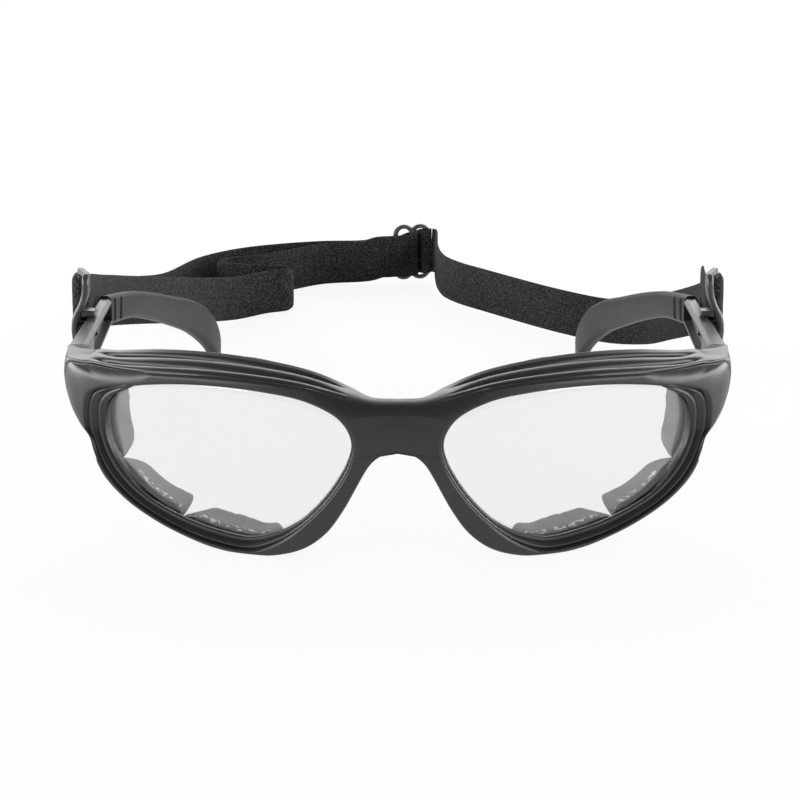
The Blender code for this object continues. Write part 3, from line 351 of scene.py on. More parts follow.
def rim_section(angle):
    """The rim's section at an angle round the lens: lip, front face, ribbed brow, back, seat and groove."""
    opening = reach(OPENING, angle)
    front = reach(FRONT_EDGE, angle)
    back = reach(BACK_EDGE, angle)
    deep = rim_depth(angle)
    share = end_piece_share(angle)
    degrees = math.degrees(angle)
    beaded = float(np.interp(degrees, BEAD_ANGLES, BEAD_SHARES))
    chamfer = min(PLAIN_CHAMFER + (RIM_CHAMFER - PLAIN_CHAMFER) * beaded, CHAMFER_MOST * (front - opening))
    lip = PLAIN_LIP_DEPTH + (LIP_DEPTH - PLAIN_LIP_DEPTH) * beaded
    low, high = END_PIECE_SPAN
    rise = min(max((degrees - low) / (high - low), 0), 1)
    hinge_z = HINGE_HEIGHTS[0] + (HINGE_HEIGHTS[1] - HINGE_HEIGHTS[0]) * rise
    outer_hinge = np.array((HINGE_FACE_X[1], HINGE_FACE_Y, hinge_z))
    inner_hinge = np.array((HINGE_FACE_X[0], HINGE_FACE_Y, hinge_z))
    outward = np.array((math.cos(angle), 0, math.sin(angle)))
    bridge = smoothstep(*BRIDGE_SPAN[:2], degrees) - smoothstep(*BRIDGE_SPAN[2:], degrees)
    thin = BRIDGE_THINNER * bridge
    rise_back = np.array((0, 0, BRIDGE_RISE * bridge))
    front_edge = place(angle, front, 0.0)
    back_edge = place(angle, back, deep - BACK_ROUND - thin) + rise_back
    back_edge += (outer_hinge - back_edge) * share

    def groove(along):
        """How deep the valley beside a rib is, at a share of the way from the front edge to the back."""
        rib = min(int(np.searchsorted(BROW_RIBS, along, side="right")) - 1, len(BROW_RIBS) - 2)
        part = (along - BROW_RIBS[rib]) / (BROW_RIBS[rib + 1] - BROW_RIBS[rib])
        valley = rib if part < 0.5 else rib + 1
        fade0, fade1, fade2, fade3 = BROW_ENDS[valley]
        if not BROW_VALLEYS[valley]:
            return 0.0
        there = smoothstep(fade0, fade1, degrees) - smoothstep(fade2, fade3, degrees)
        power = CREASE_POWER + (RIB_POWER - CREASE_POWER) * smoothstep(*CREASE_END, degrees)
        return BROW_VALLEYS[valley] * there * abs(2 * part - 1) ** power

    def brow(along):
        """A place between the front edge and the back one, before its valleys are cut."""
        radius = front + (back - front) * along
        ribbed = place(angle, radius, (deep - BACK_ROUND - thin) * along) + rise_back * along
        side = front_edge + (back_edge - front_edge) * along
        return ribbed + (side - ribbed) * share

    ridge = place(angle, opening + chamfer, 0.0)
    size = float(np.interp(degrees, ROUND_ANGLES, EDGE_ROUNDS))
    before = front_edge + (ridge - front_edge) * min(size / np.linalg.norm(ridge - front_edge), ROUND_MOST[0])
    turned = min(size / np.linalg.norm(back_edge - front_edge), ROUND_MOST[1])
    after = brow(turned)

    def rounded(t):
        return (1 - t) ** 2 * before + 2 * t * (1 - t) * front_edge + t**2 * after

    inside = opening - INNER_LIP * beaded
    line = [place(angle, inside, GROOVE_START), place(angle, inside, lip)]
    for (out, depth), part in zip(RIM_BEAD, PLAIN_SHARES):
        plain = PLAIN_LIP_DEPTH * (1 - part) ** 2
        out *= min(chamfer / RIM_CHAMFER, 1) if out > 0 else 1
        across = PLAIN_CHAMFER * part * (1 - beaded) + out * beaded
        line.append(place(angle, opening + across, plain + (depth - plain) * beaded))
    line.append(ridge)
    line += [rounded(t) for t in np.linspace(0, 0.5, 6)]
    for along in BROW_PLACES:
        whole = rounded(0.5 + 0.5 * along / turned) if along < turned else brow(along)
        line.append(whole - outward * groove(along))
    inner_edge = place(angle, back - BACK_ROUND, deep - thin) + rise_back
    inner_edge += (inner_hinge - inner_edge) * share
    seat = min(FOAM_SEAT, back - opening - EDGE_ROUND)
    behind = len(line)
    line += [
        back_edge, inner_edge, place(angle, opening + seat, deep), place(angle, opening + BACK_LIP, deep),
        place(angle, opening + BACK_LIP, GROOVE_END), place(angle, opening + GROOVE_REACH, GROOVE_END),
        place(angle, opening + GROOVE_REACH, GROOVE_START),
    ]
    corners = {2: BEAD_EASE, 4: BEAD_EASE, 6: RIDGE_EASE}
    corners.update({behind: BACK_EASE, behind + 1: BACK_EASE, behind + 3: SEAT_EASE})
    return [np.array((x, y, max(z, 0.0))) for x, y, z in eased(line, corners)]


def lofted(name, rings, closed=False):
    """A piece of quads between neighbouring rings of points in millimetres, capped unless the rings close."""
    rings = np.array(rings)
    count, around = rings.shape[:2]
    points = (rings.reshape(-1, 3) + (0, BACK_Y, 0)) * MM
    faces = []
    for i in range(count if closed else count - 1):
        one, two = i * around, (i + 1) % count * around
        for j in range(around):
            k = (j + 1) % around
            faces.append((one + j, one + k, two + k, two + j))
    if not closed:
        faces += [tuple(range(around)), tuple(range((count - 1) * around, count * around))]
    bm = bmesh.new()
    made = [bm.verts.new(point) for point in points]
    for face in faces:
        bm.faces.new([made[i] for i in face])
    return piece(name, bm)


def piece(name, bm, crease=SHARP_ANGLE):
    """A piece from a finished bmesh, smooth but for its creases."""
    bmesh.ops.recalc_face_normals(bm, faces=bm.faces)
    if bm.calc_volume(signed=True) < 0:
        bmesh.ops.reverse_faces(bm, faces=bm.faces)
    mesh = bpy.data.meshes.new(name)
    bm.to_mesh(mesh)
    bm.free()
    mesh.shade_smooth()
    mesh.set_sharp_from_angle(angle=math.radians(crease))
    made = bpy.data.objects.new(name, mesh)
    scene.collection.objects.link(made)
    return made


def mirrored(obj, name):
    """The wearer's right-hand twin of a left-hand piece."""
    bm = bmesh.new()
    bm.from_mesh(obj.data)
    for vert in bm.verts:
        vert.co.x = -vert.co.x
    twin = piece(name, bm)
    for material in obj.data.materials:
        twin.data.materials.append(material)
    return twin


BROAD_GRAIN = 14
SPECKLE_SPAN = (0.3, 0.7)
SHEEN_SWING = 0.05
GRAIN_HEIGHT = 0.0001


def moulded(name, colour, roughness, grain, bump, speckle=0.12):
    """A procedural plastic: fine moulded grain in its bump, and slow unevenness in its colour and sheen."""
    material = bpy.data.materials.new(name)
    material.use_nodes = True
    tree = material.node_tree
    shader = tree.nodes["Principled BSDF"]
    place_node = tree.nodes.new("ShaderNodeTexCoord")
    fine = tree.nodes.new("ShaderNodeTexNoise")
    fine.inputs["Scale"].default_value = grain
    fine.inputs["Detail"].default_value = 3.0
    tree.links.new(place_node.outputs["Object"], fine.inputs["Vector"])
    broad = tree.nodes.new("ShaderNodeTexNoise")
    broad.inputs["Scale"].default_value = grain / BROAD_GRAIN
    broad.inputs["Detail"].default_value = 4.0
    tree.links.new(place_node.outputs["Object"], broad.inputs["Vector"])
    ramp = tree.nodes.new("ShaderNodeValToRGB")
    factors = (1 - speckle, 1 + speckle)
    for element, position, factor in zip(ramp.color_ramp.elements, SPECKLE_SPAN, factors):
        element.position = position
        element.color = (*[channel * factor for channel in colour], 1)
    tree.links.new(broad.outputs["Fac"], ramp.inputs["Fac"])
    tree.links.new(ramp.outputs["Color"], shader.inputs["Base Color"])
    sheen = tree.nodes.new("ShaderNodeMapRange")
    sheen.inputs["To Min"].default_value = roughness - SHEEN_SWING
    sheen.inputs["To Max"].default_value = roughness + SHEEN_SWING
    tree.links.new(fine.outputs["Fac"], sheen.inputs["Value"])
    tree.links.new(sheen.outputs["Result"], shader.inputs["Roughness"])
    relief = tree.nodes.new("ShaderNodeBump")
    relief.inputs["Strength"].default_value = bump
    relief.inputs["Distance"].default_value = GRAIN_HEIGHT
    tree.links.new(fine.outputs["Fac"], relief.inputs["Height"])
    tree.links.new(relief.outputs["Normal"], shader.inputs["Normal"])
    return material


SATIN_BLACK = moulded("satin_black_nylon", (0.018, 0.0178, 0.0215), 0.33, 2600, 0.10)


def make_front():
    low, high = END_PIECE_SPAN
    blends = np.linspace(low - END_PIECE_BLEND, low, END_PIECE_STATIONS[0]).tolist()
    blends += np.linspace(high, high + END_PIECE_BLEND, END_PIECE_STATIONS[1]).tolist()
    for first, last, step in BRIDGE_STATIONS:
        blends += np.arange(first, last, step).tolist()
    kept = [math.radians(angle) for angle in blends]
    even = even_angles(RIM_STATIONS, OPENING, FRONT_EDGE)
    angles = sorted([a for a in even if min(abs(a - one) for one in kept) > STATION_GAP] + kept)
    half = lofted("front", [rim_section(angle) for angle in angles], closed=True)
    bm = bmesh.new()
    bm.from_mesh(half.data)
    everything = bm.verts[:] + bm.edges[:] + bm.faces[:]
    bmesh.ops.bisect_plane(bm, geom=everything, plane_co=(0, 0, 0), plane_no=(1, 0, 0), clear_inner=True)
    bm.to_mesh(half.data)
    bm.free()
    half.data.set_sharp_from_angle(angle=math.radians(SHARP_ANGLE))
    half.data.materials.append(SATIN_BLACK)
    mirror = half.modifiers.new("other_half", "MIRROR")
    mirror.merge_threshold = HALVES_MERGE
    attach(half, "front")
    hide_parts("frame_front")


make_front()


# Hinge lugs: two flat eyes on each end-piece, moulded in one with it. The screw goes up through both of them
# and the temple's tongue between.

LUG_RADIUS = 1.75
LUG_NECK = 1.225
LUG_ROOT = 2.75
LUG_HEIGHTS = ((26.7, 28.6), (31.6, 33.5))
LUG_SINKS = (1.35, 0.1)
LUG_CHAMFER = 0.2
SHANK_HOLE = 0.8
HEAD_HOLE = 1.25
LUG_TURNS = 64


def make_lug(name, low, high, head_height):
    """An eye round the hinge axis, with a neck towards the end-piece and a sink for the screw's head."""
    rings = []
    for turn in np.arange(LUG_TURNS) / LUG_TURNS * 2 * math.pi:
        across, ahead = math.cos(turn), math.sin(turn)
        outer = LUG_RADIUS
        if ahead < 0:
            outer = max(outer, min(LUG_NECK / max(abs(across), 1e-3), LUG_ROOT / max(-ahead, 1e-3)))
        edge = outer - LUG_CHAMFER
        section = [
            (HEAD_HOLE, low), (edge, low), (outer, low + LUG_CHAMFER), (outer, high - LUG_CHAMFER),
            (edge, high), (SHANK_HOLE, high), (SHANK_HOLE, low + head_height), (HEAD_HOLE, low + head_height),
        ]
        rings.append([(HINGE[0] + r * across, HINGE[1] + r * ahead, z) for r, z in section])
    lug = lofted(name, rings, closed=True)
    lug.data.materials.append(SATIN_BLACK)
    return lug


for height_name, (lug_low, lug_high), sink in zip(("lower", "upper"), LUG_HEIGHTS, LUG_SINKS):
    left_lug = make_lug(f"left_{height_name}_hinge_lug", lug_low, lug_high, sink)
    for lug in (left_lug, mirrored(left_lug, f"right_{height_name}_hinge_lug")):
        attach(lug, "front")


# Lenses: clear moulded polycarbonate with a ground edge, curved with the front. Each is snapped into the
# groove round its opening.

LENS_BITE = 0.9
LENS_THICKNESS = 1.9
LENS_NEAR = 2.1
LENS_STATIONS = 128
LENS_RINGS = np.linspace(0, 1, 15)[1:]
LENS_EDGE = 0.2
LENS_TINT = (0.87, 0.872, 0.872, 1)
LENS_IOR = 1.65
SMEAR_SCALE = 60
SMEAR_ROUGHNESS = 0.03
GROUND_EDGE = ("ground_lens_edge", (0.16, 0.16, 0.17), 0.6, 3000, 0.1)


def clear_sheet():
    material = bpy.data.materials.new("clear_polycarbonate")
    material.use_nodes = True
    tree = material.node_tree
    shader = tree.nodes["Principled BSDF"]
    shader.inputs["Base Color"].default_value = LENS_TINT
    shader.inputs["Transmission Weight"].default_value = 1.0
    shader.inputs["IOR"].default_value = LENS_IOR
    smears = tree.nodes.new("ShaderNodeTexNoise")
    smears.inputs["Scale"].default_value = SMEAR_SCALE
    smears.inputs["Detail"].default_value = 2.0
    place_node = tree.nodes.new("ShaderNodeTexCoord")
    tree.links.new(place_node.outputs["Object"], smears.inputs["Vector"])
    gloss = tree.nodes.new("ShaderNodeMapRange")
    gloss.inputs["To Min"].default_value = 0.0
    gloss.inputs["To Max"].default_value = SMEAR_ROUGHNESS
    tree.links.new(smears.outputs["Fac"], gloss.inputs["Value"])
    tree.links.new(gloss.outputs["Result"], shader.inputs["Roughness"])
    return material


def make_lens():
    angles = even_angles(LENS_STATIONS, OPENING)
    bm = bmesh.new()
    sheets = []
    for depth, face in ((LENS_NEAR, 1), (LENS_NEAR + LENS_THICKNESS, -1)):
        def spot(angle, share):
            radius = share * (reach(OPENING, angle) + LENS_BITE)
            inward = face * LENS_EDGE if share == 1 else 0.0
            return (place(angle, radius, depth + inward) + (0, BACK_Y, 0)) * MM
        middle = bm.verts.new(spot(0, 0))
        rings = [[bm.verts.new(spot(a, share)) for a in angles] for share in LENS_RINGS]
        for i in range(LENS_STATIONS):
            j = (i + 1) % LENS_STATIONS
            bm.faces.new((middle, rings[0][i], rings[0][j]))
            for inner, outer in zip(rings, rings[1:]):
                bm.faces.new((inner[i], outer[i], outer[j], inner[j]))
        sheets.append(rings[-1])
    for i in range(LENS_STATIONS):
        j = (i + 1) % LENS_STATIONS
        bm.faces.new((sheets[0][i], sheets[0][j], sheets[1][j], sheets[1][i])).material_index = 1
    lens = piece("left_clear_lens", bm)
    lens.data.materials.append(clear_sheet())
    lens.data.materials.append(moulded(*GROUND_EDGE))
    return lens


left_lens = make_lens()
for lens, side in ((left_lens, "left"), (mirrored(left_lens, "right_clear_lens"), "right")):
    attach(lens, "front")
    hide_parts(f"{side}_lens")


# Foam gaskets: rings of soft grey foam, cut out and glued to a flange on the rim's back. Notches part each
# ring into petals that fold in against the face.

FOAM_DEPTH = 7.2
FOAM_ANGLES = (-180, -140, -115, -92, -70, -52, -36, -23, -13, 0, 17, 40, 90, 180)
FOAM_INSETS = (0.3, 0.4, 0.8, 0.8, 0.8, 0.8, 0.8, 0.6, 0.5, 0.5, 0.5, 0.4, 0.35, 0.3)
FOAM_SPREADS = (0.2, 0.1, -0.3, -1.2, -0.8, 0.0, 0.0, 1.8, 3.0, 3.0, 3.0, 1.8, 0.2, 0.2)
FOAM_BROW_REACH = 4.3
FOAM_BROW_EDGE = 0.3
FOAM_BROW_MARGIN = 10
FOAM_BROW_PULL = (0.6, 1.6)
FOAM_NOTCHES = (-178.0, -127.0, -50.5, -8.5, 40.0, 88.0, 135.0)
FOAM_NOTCH_DEPTH = 2.0
FOAM_NOTCH_CUT = 0.93
FOAM_NOTCH_WIDTH = 3.6
FOAM_NOTCH_LIMIT = 0.8
FOAM_NOTCH_GAP = 0.01
FOAM_ROUND = 1.1
FOAM_ROUND_MOST = (0.25, 0.4)
GLUED_WIDTH = 1.0
FIT_GAP = 0.3
FOAM_STATIONS = 300
FOAM_SEED = 7
FOAM_UNEVEN = 0.10
FOAM_ROLL = 1.7
FOAM_GREY = (0.23, 0.23, 0.233)
FOAM_CLEAR = 0.05
# Painted highlight on the lower petals' inner face: pale dashes that stand in for light on their fuzzy edge.
# These are its section rows, angles, patch scale, edge and colour.
HIGHLIGHT_LINE = (26, 28)
HIGHLIGHT_SPAN = (-128.0, -14.0)
HIGHLIGHT_PATCHES = 900
HIGHLIGHT_EDGE = (0.52, 0.58)
HIGHLIGHT_WHITE = (0.85, 0.85, 0.85, 1)


def foam_section(angle, off_notch, unevenness):
    """A section of the foam ring, this far from the next notch: a flange on the rim's back, then a petal."""
    opening = reach(OPENING, angle)
    back = reach(BACK_EDGE, angle)
    near = rim_depth(angle) + FIT_GAP
    seat = min(FOAM_SEAT, back - opening - EDGE_ROUND) - FIT_GAP
    brow = max(0.0, math.sin(angle)) ** 2 * (1 - end_piece_share(angle, FOAM_BROW_MARGIN))
    flange = seat + (min(FOAM_BROW_REACH, back - opening - FOAM_BROW_EDGE) - seat) * brow
    degrees = math.degrees(angle)
    inset = float(np.interp(degrees, FOAM_ANGLES, FOAM_INSETS))
    spread = float(np.interp(degrees, FOAM_ANGLES, FOAM_SPREADS))
    cut = max(0.0, 1 - off_notch / FOAM_NOTCH_WIDTH) ** 2
    notch = min(FOAM_NOTCH_DEPTH, FOAM_NOTCH_LIMIT * (inset + flange)) * cut
    inner = opening - inset + notch + unevenness
    outer = opening + flange
    far = near + FOAM_DEPTH * (1 - FOAM_NOTCH_CUT * cut)
    across, along = FOAM_ROUND_MOST
    swell = min(FOAM_ROUND, across * (outer - inner), along * (far - near))
    glued = max(inner + 0.8 * swell, opening - GLUED_WIDTH)
    waist, crown = (pull * brow for pull in FOAM_BROW_PULL)
    outline = (
        (outer, near), (outer - waist, 0.55 * near + 0.45 * far),
        (outer - 0.5 * swell - crown, far - 0.6 * swell), (outer - 1.4 * swell - crown, far),
        (inner + 1.0 * swell, far), (inner + 0.2 * swell, far - 0.7 * swell),
        (inner, 0.5 * (near + far)), (inner, near + 0.8 * swell), (inner + 0.5 * swell, near),
        (glued, near), (0.5 * (glued + outer), near),
    )
    smooth = spline([(r + spread * (d - near) / FOAM_DEPTH, d) for r, d in outline], 4, closed=True)
    found = [place(angle, r, max(d, near)) for r, d in smooth]
    return [np.array((x, y, max(z, FOAM_CLEAR))) for x, y, z in found]


def foam_and_painted_highlight():
    """Soft grey foam, with a highlight painted in pale dashes along the petals' inner face, where the mesh
    marks it.
    """
    material = moulded("soft_grey_foam", FOAM_GREY, 0.9, 3200, 0.5, 0.14)
    tree = material.node_tree
    shader = tree.nodes["Principled BSDF"]
    colour = shader.inputs["Base Color"].links[0].from_socket
    # Painted highlight: pale patches mixed into the foam colour where the mesh marks the petals' inner face.
    painted_highlight = tree.nodes.new("ShaderNodeAttribute")
    painted_highlight.attribute_name = "painted_highlight"
    patches = tree.nodes.new("ShaderNodeTexNoise")
    patches.inputs["Scale"].default_value = HIGHLIGHT_PATCHES
    patches.inputs["Detail"].default_value = 3.0
    place_node = tree.nodes.new("ShaderNodeTexCoord")
    tree.links.new(place_node.outputs["Object"], patches.inputs["Vector"])
    product = tree.nodes.new("ShaderNodeMath")
    product.operation = "MULTIPLY"
    tree.links.new(painted_highlight.outputs["Fac"], product.inputs[0])
    tree.links.new(patches.outputs["Fac"], product.inputs[1])
    edge = tree.nodes.new("ShaderNodeMapRange")
    edge.inputs["From Min"].default_value, edge.inputs["From Max"].default_value = HIGHLIGHT_EDGE
    tree.links.new(product.outputs["Value"], edge.inputs["Value"])
    mix = tree.nodes.new("ShaderNodeMix")
    mix.data_type = "RGBA"
    tree.links.new(edge.outputs["Result"], mix.inputs["Factor"])
    tree.links.new(colour, mix.inputs["A"])
    mix.inputs["B"].default_value = HIGHLIGHT_WHITE
    tree.links.new(mix.outputs["Result"], shader.inputs["Base Color"])
    return material


def make_foam():
    rough = np.random.default_rng(FOAM_SEED).normal(0, 1, FOAM_STATIONS)
    rough = FOAM_UNEVEN * (rough + np.roll(rough, 1) + np.roll(rough, -1)) / FOAM_ROLL
    notches = np.radians(FOAM_NOTCHES)
    even = even_angles(FOAM_STATIONS, OPENING)
    angles = sorted([a for a in even if np.abs(notches - a).min() > FOAM_NOTCH_GAP] + notches.tolist())
    rings = []
    for i, angle in enumerate(angles):
        apart = np.abs((notches - angle + math.pi) % (2 * math.pi) - math.pi).min() * reach(OPENING, angle)
        rings.append(foam_section(angle, float(apart), float(rough[i % FOAM_STATIONS])))
    foam = lofted("left_foam_pad", rings, closed=True)
    # Marks the rows of the lower petals' inner face that get the painted highlight.
    painted_highlight = foam.data.attributes.new("painted_highlight", "FLOAT", "POINT")
    around = len(rings[0])
    for i, angle in enumerate(angles):
        low = 1.0 if HIGHLIGHT_SPAN[0] < math.degrees(angle) < HIGHLIGHT_SPAN[1] else 0.0
        for j in range(around):
            painted_highlight.data[i * around + j].value = low if HIGHLIGHT_LINE[0] <= j <= HIGHLIGHT_LINE[1] else 0.0
    foam.data.materials.append(foam_and_painted_highlight())
    return foam


left_foam = make_foam()
for foam, side in ((left_foam, "left"), (mirrored(left_foam, "right_foam_pad"), "right")):
    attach(foam, "front")
    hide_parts(f"{side}_foam_gasket")


# Hinge screws: small slotted machine screws of blackened steel, turned and then screwed up through the lugs
# from below.

SCREW_BEVEL = 0.00008
WELD_GAP = 0.000002
BEVEL_ANGLE = 28


def bevelled(obj, material, width, segments=3):
    """Gives a solid part its finish and rounded edges."""
    weld = obj.modifiers.new("closed_edges", "WELD")
    weld.merge_threshold = WELD_GAP
    bevel = obj.modifiers.new("rounded_edges", "BEVEL")
    bevel.width = width
    bevel.segments = segments
    bevel.limit_method = "ANGLE"
    bevel.angle_limit = math.radians(BEVEL_ANGLE)
    bevel.harden_normals = False
    obj.modifiers.new("even_shading", "WEIGHTED_NORMAL")
    for face_slot in obj.material_slots:
        face_slot.link = "OBJECT"
        face_slot.material = material


BLACKENED_STEEL = moulded("blackened_steel", (0.30, 0.30, 0.31), 0.35, 4000, 0.1)
BLACKENED_STEEL.node_tree.nodes["Principled BSDF"].inputs["Metallic"].default_value = 1.0
for side in ("left", "right"):
    bevelled(nodes[f"{side}_hinge_screw"], BLACKENED_STEEL, SCREW_BEVEL, 2)


# Temple arms: short bars of fine-grained black nylon, with a channel moulded in the inner face. Each turns on
# its hinge screw and holds the tip's tang.

ARM_BEVEL = 0.00022
GRAINED_BLACK = moulded("grained_black_nylon", (0.060, 0.060, 0.062), 0.36, 2200, 0.25)
for side in ("left", "right"):
    bevelled(nodes[f"{side}_temple_arm"], GRAINED_BLACK, ARM_BEVEL)


# Temple tips: soft dark grey rubbery blades, moulded with eased edges and two small slots on the inner face
# near the arm. A tang slides into the arm's channel.

TIP_ROUTE = (
    (67.5, 73.0, 34.3, 6.8), (63.7, 91.0, 31.4, 6.3), (60.5, 107.0, 27.2, 6.7), (57.1, 123.0, 22.2, 7.3),
    (53.3, 138.0, 16.9, 8.4), (50.2, 149.0, 10.9, 8.8), (48.9, 154.8, 5.4, 7.2), (48.7, 157.2, 0.2, 4.6),
)
TIP_STEP = 0.9
TIP_HALF = 1.55
TIP_CREST = 0.75
TIP_SHOULDER = 0.9
TIP_EASE = (0.35, 4)
TIP_STRAIGHT = 4
TIP_SLOTS = (3, 8)
TIP_SLOT_FACE = -1.4
TIP_SLOT_FLOOR = -0.6
RUBBER_SHINE = 0.16
SOFT_GREY = moulded("soft_dark_grey_rubber", (0.017, 0.0172, 0.0205), 0.42, 2400, 0.08)
SOFT_GREY.node_tree.nodes["Principled BSDF"].inputs["Specular IOR Level"].default_value = RUBBER_SHINE


def make_tip():
    route = even_spline(TIP_ROUTE, TIP_STEP)
    count = len(route)
    rings = []
    for i, (*point, height) in enumerate(route):
        step = Vector((route[min(i + 1, count - 1)] - route[max(i - 1, 0)])[:3]).normalized()
        ahead = step.lerp(Vector((0, 1, 0)), max(0.0, 1 - i / TIP_STRAIGHT)).normalized()
        up = (Vector((0, 0, 1)) - ahead * ahead.z).normalized()
        across = ahead.cross(up)
        half = height / 2
        shoulder = half - TIP_SHOULDER
        upper = [(TIP_HALF, shoulder), (TIP_CREST, half), (-TIP_CREST, half), (-TIP_HALF, shoulder)]
        outline = [np.array(corner) for corner in upper + [(-a, -u) for a, u in upper]]
        section = eased(outline, dict.fromkeys(range(len(outline)), TIP_EASE))
        if i in TIP_SLOTS:
            section = [(TIP_SLOT_FLOOR if a < TIP_SLOT_FACE else a, u) for a, u in section]
        middle = Vector(point)
        rings.append([np.array(middle + across * float(a) + up * float(u)) for a, u in section])
    for ring in rings:
        for point in ring:
            point[2] = max(point[2], 0.0)
    tip = lofted("left_soft_tip", rings)
    tip.data.materials.append(SOFT_GREY)
    return tip


left_tip = make_tip()
for tip, side in ((left_tip, "left"), (mirrored(left_tip, "right_soft_tip"), "right")):
    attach(tip, f"{side}_temple")
    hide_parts(f"{side}_temple_tip")


# Strap clips: one-piece loops of grey-black acetal. A peg goes into the arm's side, a ledge lies on its top
# edge, and the strap turns round the rear bar.

CLIP_GREY = moulded("grey_black_acetal", (0.045, 0.045, 0.048), 0.34, 2600, 0.06)
CLIP_S_CURVE = ((72.4, 30.0), (72.5, 34.0), (72.1, 36.6), (70.8, 39.2), (70.0, 41.8), (69.8, 45.9))
CLIP_BAND_Y = (59.05, 66.0)
CLIP_BAND_Z = (30.4, 45.4)
CLIP_CORNER = 1.5
CLIP_REAR_X = 71.8
CLIP_HALF_WIDTHS = (2.3, 0.75, 1.25)
CLIP_HALF_THICK = (0.85, 0.75)
CLIP_FOOT = 3.2
CLIP_TURNS = 20
CLIP_STEPS = (22, 8, 14)
CLIP_SWEEP = (0.05, 0.95)
CLIP_PEG = (59.2, 33.2)
CLIP_SQUARE = 0.6
CLIP_FOOT_THINNER = 0.6
CLIP_PEG_RINGS = (
    (67.4, 0.9), (67.5, 1.3), (67.9, 1.4), (70.15, 1.4), (70.2, 1.85), (70.35, 2.0), (72.2, 2.0),
)
CLIP_PEG_TURNS = 24
CLIP_LEDGE = ((67.9, 57.3, 36.5), (70.9, 60.8, 37.9))
CLIP_LEDGE_LEAD = ((0.0, 0.35), (0.12, 0.12), (0.35, 0.0))
CLIP_LEDGE_EASE = (0.35, 4)


def squared(turn, power):
    """A rounded rectangle's two places at a turn: the lower the power, the squarer it is."""
    across, rise = math.cos(turn), math.sin(turn)
    return math.copysign(abs(across) ** power, across), math.copysign(abs(rise) ** power, rise)


def clip_path():
    """The loop's middle line in y and z, with the outward direction: up the front, over and down behind."""
    (y0, y1), (z0, z1) = CLIP_BAND_Y, CLIP_BAND_Z
    up_steps, turn_steps, down_steps = CLIP_STEPS
    found = []
    for z in np.linspace(z0 + CLIP_CORNER, z1 - CLIP_CORNER, up_steps):
        found.append((y0, z, -1.0, 0.0))
    for y, z, first in ((y0, z1, 180), (y1, z1, 90), (y1, z0, 0), (y0, z0, -90)):
        middle_y = y + CLIP_CORNER * (1 if y == y0 else -1)
        middle_z = z + CLIP_CORNER * (1 if z == z0 else -1)
        for turn in np.radians(np.linspace(first, first - 90, turn_steps)):
            across, rise = math.cos(turn), math.sin(turn)
            found.append((middle_y + CLIP_CORNER * across, middle_z + CLIP_CORNER * rise, across, rise))
        if (y, z) == (y1, z1):
            for z_down in np.linspace(z1 - CLIP_CORNER, z0 + CLIP_CORNER, down_steps)[1:-1]:
                found.append((y1, z_down, 1.0, 0.0))
    return found[:-1]


def make_clip():
    curve = spline(CLIP_S_CURVE, 12)
    y0, y1 = CLIP_BAND_Y
    rings = []
    for y, z, across, rise in clip_path():
        share = min(max((y - y0) / (y1 - y0), 0.0), 1.0)
        front_x = float(np.interp(z, curve[:, 1], curve[:, 0]))
        x = front_x + (CLIP_REAR_X - front_x) * smoothstep(*CLIP_SWEEP, share)
        wide = CLIP_HALF_WIDTHS[1]
        wide += ((CLIP_HALF_WIDTHS[0] if across < 0 else CLIP_HALF_WIDTHS[2]) - wide) * across**2
        thick = CLIP_HALF_THICK[0] + (CLIP_HALF_THICK[1] - CLIP_HALF_THICK[0]) * share
        foot = (1 - smoothstep(0, CLIP_FOOT, z - CLIP_BAND_Z[0])) * max(-across, 0.0)
        ring = []
        for turn in np.arange(CLIP_TURNS) / CLIP_TURNS * 2 * math.pi:
            out, side = squared(turn, CLIP_SQUARE)
            out *= wide
            if out > 0:
                out *= 1 - CLIP_FOOT_THINNER * foot
            ring.append((x + side * thick, y + across * out, z + rise * out))
        rings.append(ring)
    return lofted("left_clip_loop", rings, closed=True)


def make_clip_peg():
    y, z = CLIP_PEG
    turns = np.arange(CLIP_PEG_TURNS) / CLIP_PEG_TURNS * 2 * math.pi
    rings = []
    for x, radius in CLIP_PEG_RINGS:
        rings.append([(x, y + radius * math.cos(t), z + radius * math.sin(t)) for t in turns])
    return lofted("left_clip_peg", rings)


def make_clip_ledge():
    (x0, y0, z0), (x1, y1, z1) = CLIP_LEDGE
    rings = []
    for x, inset in [(x0 + on, inset) for on, inset in CLIP_LEDGE_LEAD] + [(x1, 0.0)]:
        front, rear, below, above = y0 + inset, y1 - inset, z0 + inset, z1 - inset
        box = [np.array(at) for at in ((front, below), (rear, below), (rear, above), (front, above))]
        section = eased(box, dict.fromkeys(range(len(box)), CLIP_LEDGE_EASE))
        rings.append([(x, y, z) for y, z in section])
    return lofted("left_clip_ledge", rings)


for clip_part, cad_node in ((make_clip(), "strap_clip"), (make_clip_peg(), None), (make_clip_ledge(), None)):
    clip_part.data.materials.append(CLIP_GREY)
    twin = mirrored(clip_part, clip_part.name.replace("left", "right"))
    for one, side in ((clip_part, "left"), (twin, "right")):
        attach(one, f"{side}_temple")
        if cad_node:
            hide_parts(f"{side}_{cad_node}")


# Strap: a flat black elastic band, knitted with a fuzzy face. From the slider one part goes through the right
# clip and back, and the other ends in a hem at the left clip.

